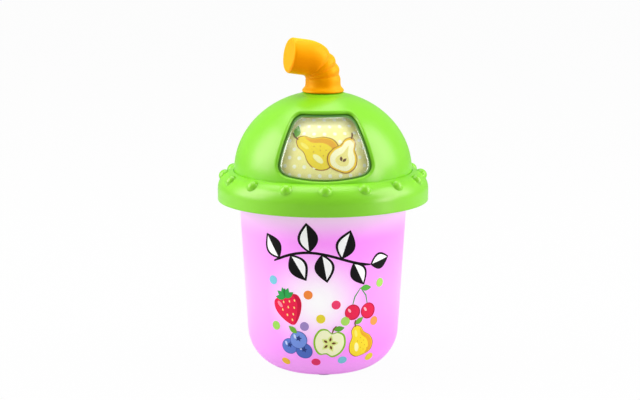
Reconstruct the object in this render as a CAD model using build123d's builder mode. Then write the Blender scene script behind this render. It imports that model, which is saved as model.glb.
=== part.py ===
from build123d import *
from math import acos, cos, degrees, hypot, radians, sin, sqrt, tan
import os

os.makedirs("parts", exist_ok=True)

# A light-up toy smoothie cup. A straw with a bellows elbow is its crank: it turns a drum
# of five pictures behind a window in the domed lid. The cup holds the cells, the power
# switch and the lamp, and the lid holds the sounder and the board that reads the drum.
# Sizes are in millimetres. +Z is up, the front faces -Y, and the origin is the middle of
# the flat that the cup stands on.

# ------------------------------------------------------------------ driving dimensions
# Clearances
seat_gap = 0.1           # between fixed pieces that seat on each other's curves
slip_gap = 0.3           # between a cover and its opening
journal_gap = 0.05       # radial, in the straw's bearing and on screws in their holes
access_gap = 1.0         # beside what a tool or a screw's tip has to reach

# Cup
cup_foot_r = 16.8        # the flat that it stands on
cup_taper = 3.45         # degrees that the wall leans out
cup_height = 86.0
cup_wall = 2.0
lid_boss_r = 3.5
lid_boss_depth = 13.0

# Lid: base plate, brim and dome
plate_thick = 2.0
spigot_depth = 7.0
spigot_wall = 1.6
rim_r = 52.5
rim_overhang = 10.7      # of the brim beyond the cup's mouth
rim_ledge = 8.2          # of the brim beyond the dome
rim_drop = 0.4           # of the brim's edge below the base plate
rim_side = 5.7           # straight side of the brim
rim_round = 9.0          # quarter round from the side up to the dome
rim_wall = 2.0
rim_boss_r = 2.4
rivet_count = 16
rivet_r = 3.0
rivet_rise = 1.8
rivet_lean = 41.0        # degrees from upright, round the brim's shoulder
dome_rise = 39.6
dome_sink = 0.2          # of the dome's widest point below the brim's top
dome_wall = 2.2
flange_reach = 2.2
flange_thick = 2.0
land_r = 11.3            # flat under the straw
land_drop = 0.4          # of that flat below the ellipse's tip
land_slope = 1.7
bearing_length = 8.3
bearing_wall = 3.4

# Window, as seen from the front; heights are above the dome's widest point
window_low = 1.4         # middle of the bottom edge
window_low_corner = 4.4
window_low_half = 24.2
window_crown = 8.3       # of its top edge below the ellipse's tip
window_high_half = 14.0
window_side_bow = 0.7
window_low_round = 5.5
window_high_round = 4.5
window_lip = 0.8         # round on the dome's edge
lens_drop = 1.0          # of the lens below the dome's skin
lens_thick = 2.3
lens_reach = 2.0         # of its flange behind the dome

# Straw
straw_lift = 0.3
straw_r = 9.0
straw_base_r = 8.7
straw_core_r = 6.0
skirt_r = 10.4
skirt_height = 2.7
bend_start = 6.4         # height of the bend's start over the land
bend_r = 11.0
bend_turn = 81.0
straw_mouth = 8.8        # straight length after the bend
mouth_round = 0.9
fold_first_turn = 7.0    # degrees round the bend to the first fold
fold_turn = 17.8         # degrees from one fold to the next
fold_count = 3
fold_depth = 1.0
fold_lead = (0.6, 0.3)   # before the first fold: shares of its turn and of the depth
fold_ridge = ((0.25, 0.2), (0.7, 0.0))   # between folds: shares of the turn and of the depth
fold_last = 0.35         # share of a turn after the last fold to its full width

# Spindle
journal_r = 5.0
spindle_flange_r = 8.0
spindle_flange = 1.3
spigot_r = 6.2
spigot_length = 4.6
spigot_flat = 5.3        # distance from the axis to the flat that the straw turns
tail_r = 4.0
tail_flat = 3.2          # distance from the axis to the flat that drives the drum

# Drum of pictures
picture_count = 5
drum_inset = 4.6         # of its skin behind the dome's skin
drum_wall = 1.6
drum_drop = 1.6          # of its edge below the dome's widest point
hub_length = 12.3
hub_wall = 3.0
hub_flange_r = 11.0
hub_flange = 1.5
rib_thick = 1.4
rib_depth = 5.0
label_thick = 0.2
label_glue = 0.05
label_split = 1.6
label_low_edge = 1.0     # of drum left bare below the labels
label_high_edge = 0.6
washer_thick = 0.6
notch_r = 1.6

# Sensing of the drum
wiper_legs = 3
wiper_drop = 6.7         # from the hub down to the contact pads
wiper_thick = 0.4
wiper_leg = 2.0
board_thick = 1.2
selector_r = 14.6
selector_post_at = 11.8
selector_post_count = 3
selector_post_turn = 30.0
post_r = 2.0
post_edge = 1.0          # of board outside a post
detent_thick = 0.9
detent_width = 8.0
detent_nose_r = 1.3

# Sounder
speaker_r = 11.5
speaker_height = 7.0
speaker_frame = 1.4      # height of its rim
speaker_basket = 3.5
magnet_r = 7.0
cone_r = 9.6
cone_depth = 2.0
cone_cap_r = 4.0
dome_clear = 1.5         # from the dome's wall to the sounder's collar and the main board
speaker_hole_r = 2.0
speaker_hole_at = 7.0
speaker_holes = 8
sound_slots = 7
sound_slot_wide = 1.2
sound_ports = 5
sound_spread = 44.0      # degrees of the lid's back that they take up

# Main board
main_board_x = 34.0
main_board_y = 16.0
main_board_post = 3.0
chip_r = 4.6
chip_height = 1.5
chip_taper = 30.0

# Cells and their box: two AAA cells side by side
cell_r = 5.25
cell_length = 44.5
cell_nub = 0.8
cell_nub_r = 1.9
cell_split = 0.5
cell_play = 0.3
cells_y = -4.5
contact_space = 2.6
contact_plate = 0.4
contact_wide = 8.4
contact_tall = 6.3
contact_stub_r = 1.6
spring_r = 3.0
spring_wire = 0.25
spring_turns = 3
box_wall = 1.5
box_round = 1.2
door_round = 3.0
door_tab_r = 4.8
door_screw_out = 4.7     # of the door's screw in front of the opening
door_pad_r = 4.0
door_pad = 4.2           # height of its inner face over the foot
door_screw_sink = 0.4    # of the screw's head in the door
tongue_x = 12.0
tongue_width = 7.0
tongue_reach = 2.2
tongue_thick = 1.2
lug_rise = 1.4           # of the lugs' top over the cells' middle
lug_thick = 2.0
lug_r = 2.8
lug_front_x = 17.0
lug_front_out = 3.5      # of the front lugs in front of the box's wall
lug_back_x = 21.0
lug_back_out = 4.1
tower_r = 8.0
tower_top = 38.0
tower_taper = 1.0        # degrees
lamp_board_r = 9.5
lamp_screw_at = 5.9
lamp_r = 2.0
lamp_height = 6.0
lamp_round = 1.75
lamp_at = 4.4

# Power switch
switch_y = 13.0
grip_x = 4.0
grip_y = 4.6
grip_recess = 0.5
grip_groove = 0.4
grip_groove_pitch = 1.0
slide_travel = 2.5       # each way
slot_round = 0.6
shutter = 0.8
shutter_lap = 0.8        # over the slot's edge
switch_x = 9.0
switch_wide = 5.0
switch_tall = 3.6
lever_x = 1.6
lever_wide = 1.4
lever_reach = 1.2        # into the switch
switch_board_wide = 8.0
switch_post_x = 14.0

# Self-tapping screws: shank, head and head height
case_shank_r = 1.2
case_head_r = 2.2
case_head = 1.2
board_shank_r = 0.9
board_head_r = 1.7
board_head = 1.0
board_grip = 4.8
screw_grip = 6.0
case_screw_count = 4     # in each ring of the lid
case_screw_turn = 45.0   # degrees round to the first of them

# ------------------------------------------------------------------ levels and radii
lean = radians(cup_taper)
cup_mouth_r = rim_r - rim_overhang
dome_r = rim_r - rim_ledge
window_high = dome_rise - window_crown
click_turn = 360 / picture_count        # one picture, and the straw's turn from the front at rest
plate_top = cup_height + plate_thick
rim_low = cup_height - rim_drop
rim_bend_z = rim_low + rim_side
rim_bend_r = rim_r - rim_round
rim_top = rim_bend_z + rim_round
dome_z = rim_top - dome_sink
land_z = dome_z + dome_rise - land_drop
bearing_low = land_z - bearing_length
drum_top = bearing_low - washer_thick - seat_gap
drum_low = dome_z - drum_drop
hub_low = drum_top - hub_length
selector_top = hub_low - wiper_drop
flange_top = plate_top + flange_thick
flange_r = dome_r + flange_reach
rim_screw_at = flange_r + (rim_r - rim_wall - flange_r) / 4
bend_z = land_z + bend_start
main_board_z = plate_top + main_board_post

# The round between the cup's foot and its wall takes up what the foot and the taper leave
cup_corner_r = (cup_mouth_r - cup_foot_r - cup_height * tan(lean)) * cos(lean) / (1 - sin(lean))


def cup_r(height, inset=0.0):
    """Radius of the cup's straight wall, moved in by inset, at a height."""
    bend = cup_corner_r - inset
    wall_foot = cup_corner_r - bend * sin(lean)
    return cup_foot_r + bend * cos(lean) + (height - wall_foot) * tan(lean)


def floor_height(reach):
    """Height of the cup's inner skin at a distance from the axis, on the round of its corner."""
    return cup_corner_r - sqrt((cup_corner_r - cup_wall) ** 2 - (reach - cup_foot_r) ** 2)


boss_low = cup_height - lid_boss_depth
lid_boss_at = cup_r(boss_low, cup_wall / 2) - lid_boss_r
spigot_ring_r = cup_r(cup_height - spigot_depth, cup_wall + slip_gap)

# The cells lie as low as their own ends and their contact plates clear the cup's corner
open_x = cell_length / 2 + contact_space
open_y = 2 * cell_r + cell_split / 2 + cell_play
front_cell_y = cells_y - cell_r - cell_split / 2
back_cell_y = cells_y + cell_r + cell_split / 2
cell_z = cell_play + max(
    floor_height(hypot(cell_length / 2 + cell_play, front_cell_y)) + cell_r,
    floor_height(hypot(open_x, front_cell_y - contact_wide / 2)) + contact_tall / 2,
)
lug_top = cell_z + lug_rise
lug_front_y = cells_y - open_y - box_wall - lug_front_out
lug_back_y = cells_y + open_y + box_wall + lug_back_out
roof_low = cell_z + cell_r + cell_play
roof_top = roof_low + box_wall
door_screw_y = cells_y - open_y - door_screw_out


# ------------------------------------------------------------------ shared forms
def turned(*outline):
    """A solid turned about Z from a closed outline of (radius, height) points."""
    with BuildPart() as solid:
        with BuildSketch(Plane.XZ):
            with BuildLine():
                Polyline(*outline, close=True)
            make_face()
        revolve(axis=Axis.Z)
    return solid.part


def cup_form(inset):
    """The solid inside the cup's skin moved in by inset, up to the mouth."""
    with BuildPart() as solid:
        with BuildSketch(Plane.XZ):
            with BuildLine():
                foot = Line((0, inset), (cup_foot_r, inset))
                corner = CenterArc(
                    (cup_foot_r, cup_corner_r), cup_corner_r - inset, -90, 90 - cup_taper
                )
                wall = Line(corner @ 1, (cup_r(cup_height, inset), cup_height))
                Polyline(wall @ 1, (0, cup_height), foot @ 0)
            make_face()
        revolve(axis=Axis.Z)
    return solid.part


def dome_radius(height, inset=0.0):
    """Radius of the dome's skin, moved in by inset, at a height above its widest point."""
    return (dome_r - inset) * sqrt(1 - ((height - dome_z) / (dome_rise - inset)) ** 2)


def dome_arc(inset):
    """The dome's half outline, moved in by inset, from its widest point up to the bearing."""
    wide, tall = dome_r - inset, dome_rise - inset
    sweep_angle = degrees(acos(journal_r / wide))
    # The ellipse's own first axis points down, so that its angles stay positive
    return EllipticalCenterArc((0, dome_z), tall, wide, 90, arc_size=sweep_angle, rotation=-90)


def dome_shell(outer, inner, low):
    """A shell between two insets of the dome's skin, from low up to a hole at the top."""
    with BuildPart() as solid:
        with BuildSketch(Plane.XZ):
            with BuildLine():
                skin = dome_arc(outer)
                lining = dome_arc(inner)
                add([skin, lining])
                Line(skin @ 1, lining @ 1)
                Polyline(skin @ 0, (dome_r - outer, low), (dome_r - inner, low), lining @ 0)
            make_face()
        revolve(axis=Axis.Z)
    return solid.part


def window_block(grow):
    """A block as wide as the window, grown all round by grow, through the dome's front."""
    low, corner, high = (dome_z + z for z in (window_low, window_low_corner, window_high))
    half_up = (window_low_half + window_high_half) / 2 + window_side_bow
    middle = (corner + high) / 2
    with BuildPart() as solid:
        with BuildSketch(Plane.XZ) as face:
            with BuildLine():
                bottom = ThreePointArc((-window_low_half, corner), (0, low), (window_low_half, corner))
                right = ThreePointArc(bottom @ 1, (half_up, middle), (window_high_half, high))
                top = Line(right @ 1, (-window_high_half, high))
                ThreePointArc(top @ 1, (-half_up, middle), bottom @ 0)
            make_face()
            fillet(face.vertices().group_by(Axis.Y)[-1], window_high_round)
            fillet(face.vertices().group_by(Axis.Y)[0], window_low_round)
            if grow:
                offset(amount=grow, mode=Mode.REPLACE)
        extrude(amount=rim_r)
    return solid.part


def door_block(grow, low, high):
    """A block over the battery opening, grown sideways by grow."""
    reach = cells_y - door_screw_y
    with BuildPart() as solid:
        with BuildSketch(Plane.XY.offset(low)):
            with Locations((0, cells_y)):
                RectangleRounded(2 * (open_x + grow), 2 * (open_y + grow), door_round + grow)
            with Locations((0, cells_y - reach / 2)):
                Rectangle(2 * (door_tab_r + grow), reach)
            with Locations((0, door_screw_y)):
                Circle(door_tab_r + grow)
        extrude(amount=high - low)
    return solid.part


def screw_form(shank_r, head_r, head, length):
    """A screw that hangs from the origin with its head above it."""
    return turned(
        (0, -length), (shank_r * 0.5, -length), (shank_r, -length + shank_r),
        (shank_r, 0), (head_r, 0), (head_r, head * 0.5), (head_r * 0.7, head), (0, head),
    )


def screws_round(radius):
    """The places of one ring of case screws in the lid."""
    return PolarLocations(radius, case_screw_count, start_angle=case_screw_turn)


def back_row(radius, count):
    """Places spread evenly round the lid's back, where the sound comes out."""
    return PolarLocations(radius, count, start_angle=90 - sound_spread / 2, angular_range=sound_spread)


def raised(places, height):
    """The same places at a height."""
    return [place * Pos(0, 0, height) for place in places]


def save(piece, name):
    """Label a finished piece and write it as its own file."""
    piece.part.label = name
    export_step(piece.part, f"parts/{name}.step")


lugs = ((lug_front_x, lug_front_y), (lug_back_x, lug_back_y))
lug_spots = [(side * x, y) for x, y in lugs for side in (-1, 1)]
switch_spots = [(side * switch_post_x, switch_y) for side in (-1, 1)]
lamp_spots = [(side * lamp_screw_at, 0) for side in (-1, 1)]
case_screw = screw_form(case_shank_r, case_head_r, case_head, screw_grip)
board_screw = screw_form(board_shank_r, board_head_r, board_head, board_grip)
case_pilot_r = case_shank_r + journal_gap
board_pilot_r = board_shank_r + journal_gap

# ------------------------------------------------------------------ cup shell
slot_x = grip_x + 2 * slide_travel + 2 * slip_gap
slot_y = grip_y + 2 * slip_gap
switch_board_low = cup_wall + slip_gap + shutter + slip_gap + switch_tall

with BuildPart() as floor_posts:
    with BuildSketch():
        with Locations(*lug_spots):
            Circle(lug_r)
    extrude(amount=lug_top - lug_thick)
    with BuildSketch():
        with Locations(*switch_spots):
            Circle(post_r)
    extrude(amount=switch_board_low)
    add(cup_form(cup_wall / 2), mode=Mode.INTERSECT)

with BuildPart() as cup_shell:
    add(cup_form(0))
    add(cup_form(cup_wall), mode=Mode.SUBTRACT)
    add(floor_posts.part)
    with BuildSketch(Plane.XY.offset(boss_low)):
        with screws_round(lid_boss_at):
            Circle(lid_boss_r)
    extrude(amount=lid_boss_depth)
    with BuildSketch(Plane.XY.offset(cup_height)):
        with screws_round(lid_boss_at):
            Circle(case_pilot_r)
    extrude(amount=-screw_grip, mode=Mode.SUBTRACT)
    with BuildSketch(Plane.XY.offset(lug_top - lug_thick)):
        with Locations(*lug_spots):
            Circle(case_pilot_r)
    extrude(amount=lug_thick - screw_grip, mode=Mode.SUBTRACT)
    with BuildSketch(Plane.XY.offset(switch_board_low)):
        with Locations(*switch_spots):
            Circle(board_pilot_r)
    extrude(amount=board_thick - board_grip, mode=Mode.SUBTRACT)
    with BuildSketch():
        with Locations((0, switch_y)):
            RectangleRounded(slot_x, slot_y, slot_round)
    extrude(amount=cup_wall * 2, mode=Mode.SUBTRACT)
    add(door_block(0, -cup_wall, cell_z), mode=Mode.SUBTRACT)
save(cup_shell, "cup_shell")

# ------------------------------------------------------------------ battery door and its screw
door_seat = case_head + door_screw_sink
tongue_y = cells_y + open_y + tongue_reach / 2
tongue_spots = [(side * tongue_x, tongue_y) for side in (-1, 1)]

with BuildPart() as battery_door:
    add(cup_form(0))
    add(cup_form(cup_wall), mode=Mode.SUBTRACT)
    add(door_block(-slip_gap, -cup_wall, cell_z), mode=Mode.INTERSECT)
    with BuildSketch(Plane.XY.offset(cup_wall / 2)):
        with Locations((0, door_screw_y)):
            Circle(door_pad_r)
    extrude(amount=door_pad - cup_wall / 2)
    # Tongues that hook over the cup's floor, each on a step behind the opening's edge
    with BuildSketch(Plane.XY.offset(cup_wall + seat_gap)):
        with Locations(*[(x, y - slip_gap) for x, y in tongue_spots]):
            Rectangle(tongue_width, tongue_reach)
    extrude(amount=tongue_thick)
    with BuildSketch(Plane.XY.offset(cup_wall / 2)):
        with Locations(*[(x, y - tongue_reach - slip_gap) for x, y in tongue_spots]):
            Rectangle(tongue_width, tongue_reach)
    extrude(amount=cup_wall / 2 + seat_gap + tongue_thick)
    with Locations((0, door_screw_y, 0)):
        Cylinder(case_pilot_r, 3 * door_pad, mode=Mode.SUBTRACT)
        Cylinder(case_head_r + slip_gap, 2 * door_seat, mode=Mode.SUBTRACT)
save(battery_door, "battery_door")

with BuildPart() as door_screw:
    with Locations((0, door_screw_y, door_seat)):
        add(case_screw, rotation=(180, 0, 0))
save(door_screw, "door_screw")

# ------------------------------------------------------------------ battery box with the lamp's tower
with BuildPart() as battery_box:
    with BuildSketch():
        with Locations((0, cells_y)):
            RectangleRounded(2 * (open_x + box_wall), 2 * (open_y + box_wall), box_round + box_wall)
    extrude(amount=roof_top)
    with BuildSketch(Plane.XY.offset(lug_top - lug_thick)):
        for x, y in lug_spots:
            with Locations((x, y)):
                Circle(lug_r)
            with Locations((x, (y + cells_y) / 2)):
                Rectangle(2 * lug_r, abs(y - cells_y))
    extrude(amount=lug_thick)
    with BuildSketch(Plane.XY.offset(door_pad + slip_gap)):
        with Locations((0, door_screw_y)):
            Circle(door_pad_r - slip_gap)
        with Locations((0, (door_screw_y + cells_y) / 2)):
            Rectangle(door_pad_r, cells_y - door_screw_y)
    extrude(amount=roof_top - door_pad - slip_gap)
    with BuildSketch(Plane.XY.offset(roof_low)):
        Circle(tower_r)
    extrude(amount=tower_top - roof_low, taper=tower_taper)
    add(cup_form(cup_wall + seat_gap), mode=Mode.INTERSECT)
    with BuildSketch():
        with Locations((0, cells_y)):
            RectangleRounded(2 * open_x, 2 * open_y, box_round)
    extrude(amount=roof_low, mode=Mode.SUBTRACT)
    with BuildSketch(Plane.XY.offset(tower_top)):
        Circle(tower_r - 2 * box_wall)
        with Locations(*lamp_spots):
            Circle(board_head_r + box_wall, mode=Mode.SUBTRACT)
    extrude(amount=roof_top - tower_top, mode=Mode.SUBTRACT)
    with BuildSketch(Plane.XY.offset(tower_top)):
        with Locations(*lamp_spots):
            Circle(board_pilot_r)
    extrude(amount=-board_grip, mode=Mode.SUBTRACT)
    with BuildSketch():
        with Locations((0, door_screw_y)):
            Circle(door_pad_r + slip_gap)
        with Locations(*tongue_spots):
            Rectangle(tongue_width + 2 * slip_gap, tongue_reach * 2)
    extrude(amount=door_pad + slip_gap, mode=Mode.SUBTRACT)
    with BuildSketch():
        with Locations((0, door_screw_y)):
            Circle(case_pilot_r)
    extrude(amount=door_seat + screw_grip + slip_gap, mode=Mode.SUBTRACT)
    with BuildSketch():
        with Locations(*lug_spots):
            Circle(case_pilot_r)
    extrude(amount=lug_top, mode=Mode.SUBTRACT)
save(battery_box, "battery_box")

with BuildPart() as box_screws:
    with Locations(*[(x, y, lug_top) for x, y in lug_spots]):
        add(case_screw)
save(box_screws, "box_screws")


# ------------------------------------------------------------------ cells and their contacts
def cell_form():
    """A round cell along X about the origin, its positive nub at +X."""
    tube = cell_length - cell_nub
    with BuildPart() as solid:
        with BuildSketch(Plane.YZ.offset(-cell_length / 2)):
            Circle(cell_r)
        extrude(amount=tube)
        with BuildSketch(Plane.YZ.offset(tube - cell_length / 2)):
            Circle(cell_nub_r)
        extrude(amount=cell_nub)
    return solid.part


def spring_form(length):
    """A coil spring that stands on the origin."""
    with BuildPart() as solid:
        with BuildLine() as coil:
            Helix(pitch=length / spring_turns, height=length, radius=spring_r)
        with BuildSketch(Plane(origin=coil.line @ 0, z_dir=coil.line % 0)):
            Circle(spring_wire)
        sweep()
    return solid.part


cell = cell_form()

with BuildPart() as front_cell:
    with Locations((0, front_cell_y, cell_z)):
        add(cell)
save(front_cell, "front_cell")

with BuildPart() as back_cell:
    with Locations((0, back_cell_y, cell_z)):
        add(cell, rotation=(0, 0, 180))
save(back_cell, "back_cell")

plate_x = open_x - contact_plate / 2 - seat_gap
stub_reach = contact_space - contact_plate - 3 * seat_gap
spring = spring_form(stub_reach - 2 * spring_wire)
spring_x = open_x - contact_plate - 2 * seat_gap - spring_wire
cell_ys = (front_cell_y, back_cell_y)

with BuildPart() as contact_plates:
    with Locations(*[(side * plate_x, y, cell_z) for side in (-1, 1) for y in cell_ys]):
        Box(contact_plate, contact_wide, contact_tall)
    for side, y in ((1, front_cell_y), (-1, back_cell_y)):
        with Locations((side * (plate_x - contact_plate / 2 - stub_reach / 2), y, cell_z)):
            Cylinder(contact_stub_r, stub_reach, rotation=(0, 90, 0))
save(contact_plates, "contact_plates")

with BuildPart() as cell_springs:
    with Locations((-spring_x, front_cell_y, cell_z)):
        add(spring, rotation=(0, 90, 0))
    with Locations((spring_x, back_cell_y, cell_z)):
        add(spring, rotation=(0, -90, 0))
save(cell_springs, "cell_springs")

# ------------------------------------------------------------------ lamp
with BuildPart() as lamp_board:
    with BuildSketch(Plane.XY.offset(tower_top)):
        Circle(lamp_board_r)
        with Locations(*lamp_spots):
            Circle(board_pilot_r, mode=Mode.SUBTRACT)
    extrude(amount=board_thick)
save(lamp_board, "lamp_board")

with BuildPart() as lamps:
    with BuildSketch(Plane.XY.offset(tower_top + board_thick)):
        with Locations((0, -lamp_at), (0, 0), (0, lamp_at)):
            Circle(lamp_r)
    extrude(amount=lamp_height)
    fillet(lamps.edges().group_by(Axis.Z)[-1], lamp_round)
save(lamps, "lamps")

# ------------------------------------------------------------------ power switch
shutter_low = cup_wall + slip_gap
switch_low = shutter_low + shutter + slip_gap
shutter_x = slot_x + 2 * slide_travel + 2 * shutter_lap

with BuildPart() as power_knob:
    with BuildSketch(Plane.XY.offset(grip_recess)):
        with Locations((0, switch_y)):
            RectangleRounded(grip_x, grip_y, slip_gap)
    extrude(amount=shutter_low - grip_recess)
    with BuildSketch(Plane.XY.offset(shutter_low)):
        with Locations((0, switch_y)):
            Rectangle(shutter_x, slot_y + 2 * shutter_lap)
            Rectangle(lever_x + 2 * seat_gap, lever_wide + 2 * seat_gap, mode=Mode.SUBTRACT)
    extrude(amount=shutter)
    with BuildSketch(Plane.XY.offset(grip_recess)):
        with Locations(*[(k * grip_groove_pitch, switch_y) for k in (-1, 0, 1)]):
            Rectangle(grip_groove, grip_y)
    extrude(amount=slip_gap, mode=Mode.SUBTRACT)
save(power_knob, "power_knob")

with BuildPart() as switch_lever:
    with BuildSketch(Plane.XY.offset(shutter_low + seat_gap)):
        with Locations((0, switch_y)):
            Rectangle(lever_x, lever_wide)
    extrude(amount=shutter + slip_gap + lever_reach)
save(switch_lever, "switch_lever")

with BuildPart() as slide_switch:
    with BuildSketch(Plane.XY.offset(switch_low)):
        with Locations((0, switch_y)):
            Rectangle(switch_x, switch_wide)
    extrude(amount=switch_tall)
    with BuildSketch(Plane.XY.offset(switch_low)):
        with Locations((0, switch_y)):
            Rectangle(lever_x + 2 * slide_travel + slip_gap, lever_wide + slip_gap)
    extrude(amount=lever_reach + 2 * slip_gap, mode=Mode.SUBTRACT)
save(slide_switch, "slide_switch")

with BuildPart() as switch_board:
    with BuildSketch(Plane.XY.offset(switch_board_low)):
        with Locations((0, switch_y)):
            RectangleRounded(2 * (switch_post_x + post_r), switch_board_wide, post_edge)
        with Locations(*switch_spots):
            Circle(board_pilot_r, mode=Mode.SUBTRACT)
    extrude(amount=board_thick)
save(switch_board, "switch_board")

# ------------------------------------------------------------------ lid base
plate_r = rim_r - rim_wall - slip_gap
dome_room_r = dome_r - dome_wall - dome_clear
main_board_at = main_board_y / 2 - sqrt(dome_room_r**2 - (main_board_x / 2) ** 2)
board_spots = [
    (x * (main_board_x / 2 - post_r - post_edge), main_board_at + y * (main_board_y / 2 - post_r - post_edge))
    for x in (-1, 1) for y in (-1, 1)
]
speaker_ring_r = speaker_r + slip_gap
speaker_y = dome_room_r - speaker_ring_r - spigot_wall
selector_low = selector_top - board_thick
detent_root = dome_r - drum_inset - drum_wall - slip_gap - detent_nose_r
detent_x = detent_root - detent_thick / 2

with BuildPart() as lid_base:
    with BuildSketch(Plane.XY.offset(cup_height)):
        Circle(plate_r)
        Circle(selector_post_at - 2 * post_r, mode=Mode.SUBTRACT)
    extrude(amount=plate_thick)
    with BuildSketch(Plane.XY.offset(cup_height)):
        Circle(spigot_ring_r)
        Circle(spigot_ring_r - spigot_wall, mode=Mode.SUBTRACT)
        with screws_round(lid_boss_at):
            Circle(lid_boss_r + slip_gap, mode=Mode.SUBTRACT)
    extrude(amount=-spigot_depth)
    # Posts for both boards, the sounder's collar and the detent's socket
    with BuildSketch(Plane.XY.offset(plate_top)):
        with PolarLocations(selector_post_at, selector_post_count, start_angle=selector_post_turn):
            Circle(post_r)
    extrude(amount=selector_low - plate_top)
    with BuildSketch(Plane.XY.offset(plate_top)):
        with Locations(*board_spots):
            Circle(post_r)
    extrude(amount=main_board_post)
    with BuildSketch(Plane.XY.offset(plate_top)):
        with Locations((0, speaker_y)):
            Circle(speaker_ring_r + spigot_wall)
            Circle(speaker_ring_r, mode=Mode.SUBTRACT)
        with Locations((detent_x, 0)):
            Rectangle(detent_thick + 2 * spigot_wall, detent_width + 2 * spigot_wall)
            Rectangle(detent_thick + seat_gap, detent_width + seat_gap, mode=Mode.SUBTRACT)
    extrude(amount=main_board_post)
    # Holes: screws up into the brim, screws down into the cup, sound
    with BuildSketch(Plane.XY.offset(cup_height)):
        with screws_round(rim_screw_at):
            Circle(case_head_r + seat_gap)
    extrude(amount=case_head, mode=Mode.SUBTRACT)
    with BuildSketch(Plane.XY.offset(cup_height)):
        with screws_round(rim_screw_at):
            Circle(case_pilot_r)
        with screws_round(lid_boss_at):
            Circle(case_pilot_r)
        with Locations((0, speaker_y)):
            with PolarLocations(speaker_hole_at, speaker_holes):
                Circle(speaker_hole_r)
            Circle(speaker_hole_r)
        with back_row((flange_r + plate_r) / 2, sound_slots):
            SlotOverall(plate_r - flange_r - 2 * slip_gap, sound_slot_wide)
    extrude(amount=plate_thick, mode=Mode.SUBTRACT)
    with BuildSketch(Plane.XY.offset(selector_low)):
        with PolarLocations(selector_post_at, selector_post_count, start_angle=selector_post_turn):
            Circle(board_pilot_r)
    extrude(amount=-board_grip, mode=Mode.SUBTRACT)
    with BuildSketch(Plane.XY.offset(main_board_z)):
        with Locations(*board_spots):
            Circle(board_pilot_r)
    extrude(amount=-main_board_post - plate_thick, mode=Mode.SUBTRACT)
save(lid_base, "lid_base")

with BuildPart() as lid_screws:
    with Locations(*raised(screws_round(lid_boss_at), plate_top)):
        add(case_screw)
save(lid_screws, "lid_screws")

with BuildPart() as rim_screws:
    with Locations(*raised(screws_round(rim_screw_at), cup_height + case_head)):
        add(case_screw, rotation=(180, 0, 0))
save(rim_screws, "rim_screws")

# ------------------------------------------------------------------ brim with its rivets
clamp_r = dome_r + seat_gap
rivet_ball = (rivet_r**2 + rivet_rise**2) / (2 * rivet_rise)
rivet_arm = rim_round + rivet_rise - rivet_ball
rivet_at = rim_bend_r + rivet_arm * sin(radians(rivet_lean))
rivet_z = rim_bend_z + rivet_arm * cos(radians(rivet_lean))


def rim_form(inset, low):
    """The brim's outer form, moved in by inset, from low up, solid to the axis."""
    with BuildPart() as solid:
        with BuildSketch(Plane.XZ):
            with BuildLine():
                side = Line((rim_r - inset, low), (rim_r - inset, rim_bend_z))
                shoulder = CenterArc((rim_bend_r, rim_bend_z), rim_round - inset, 0, 90)
                Polyline(shoulder @ 1, (0, rim_top - inset), (0, low), side @ 0)
            make_face()
        revolve(axis=Axis.Z)
    return solid.part


with BuildPart() as rim_hollow:
    add(rim_form(rim_wall, rim_low))
    with BuildSketch(Plane.XY.offset(flange_top)):
        Circle(flange_r)
    extrude(amount=rim_round, mode=Mode.SUBTRACT)
    with BuildSketch(Plane.XY.offset(plate_top)):
        with screws_round(rim_screw_at):
            Circle(rim_boss_r)
    extrude(amount=rim_round, mode=Mode.SUBTRACT)

with BuildPart() as lid_rim:
    add(rim_form(0, rim_low))
    with PolarLocations(rivet_at, rivet_count, start_angle=-90):
        with Locations((0, 0, rivet_z)):
            Sphere(rivet_ball)
    add(rim_hollow.part, mode=Mode.SUBTRACT)
    with BuildSketch(Plane.XY.offset(rim_low)):
        Circle(clamp_r)
    extrude(amount=rim_side + rim_round, mode=Mode.SUBTRACT)
    with BuildSketch(Plane.XY.offset(plate_top)):
        with screws_round(rim_screw_at):
            Circle(case_pilot_r)
    extrude(amount=screw_grip - plate_thick + case_head, mode=Mode.SUBTRACT)
    low_edges = lid_rim.edges().filter_by(GeomType.CIRCLE).group_by(Axis.Z)[0]
    fillet(low_edges.sort_by(SortBy.RADIUS)[-1], rim_drop)
save(lid_rim, "lid_rim")


# ------------------------------------------------------------------ dome
def on_dome_front(edge):
    """Whether an edge's middle lies on the front of the dome's outer ellipse."""
    spot = edge @ 0.5
    flat = (spot.X**2 + spot.Y**2) / dome_r**2
    on_skin = abs(flat + ((spot.Z - dome_z) / dome_rise) ** 2 - 1) < 0.004
    return on_skin and spot.Y < -land_r


land_foot_r = land_r + land_slope
land_foot_z = dome_z + dome_rise * sqrt(1 - (land_foot_r / dome_r) ** 2) - land_drop
land_back = bearing_low + bearing_length / 2

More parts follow.
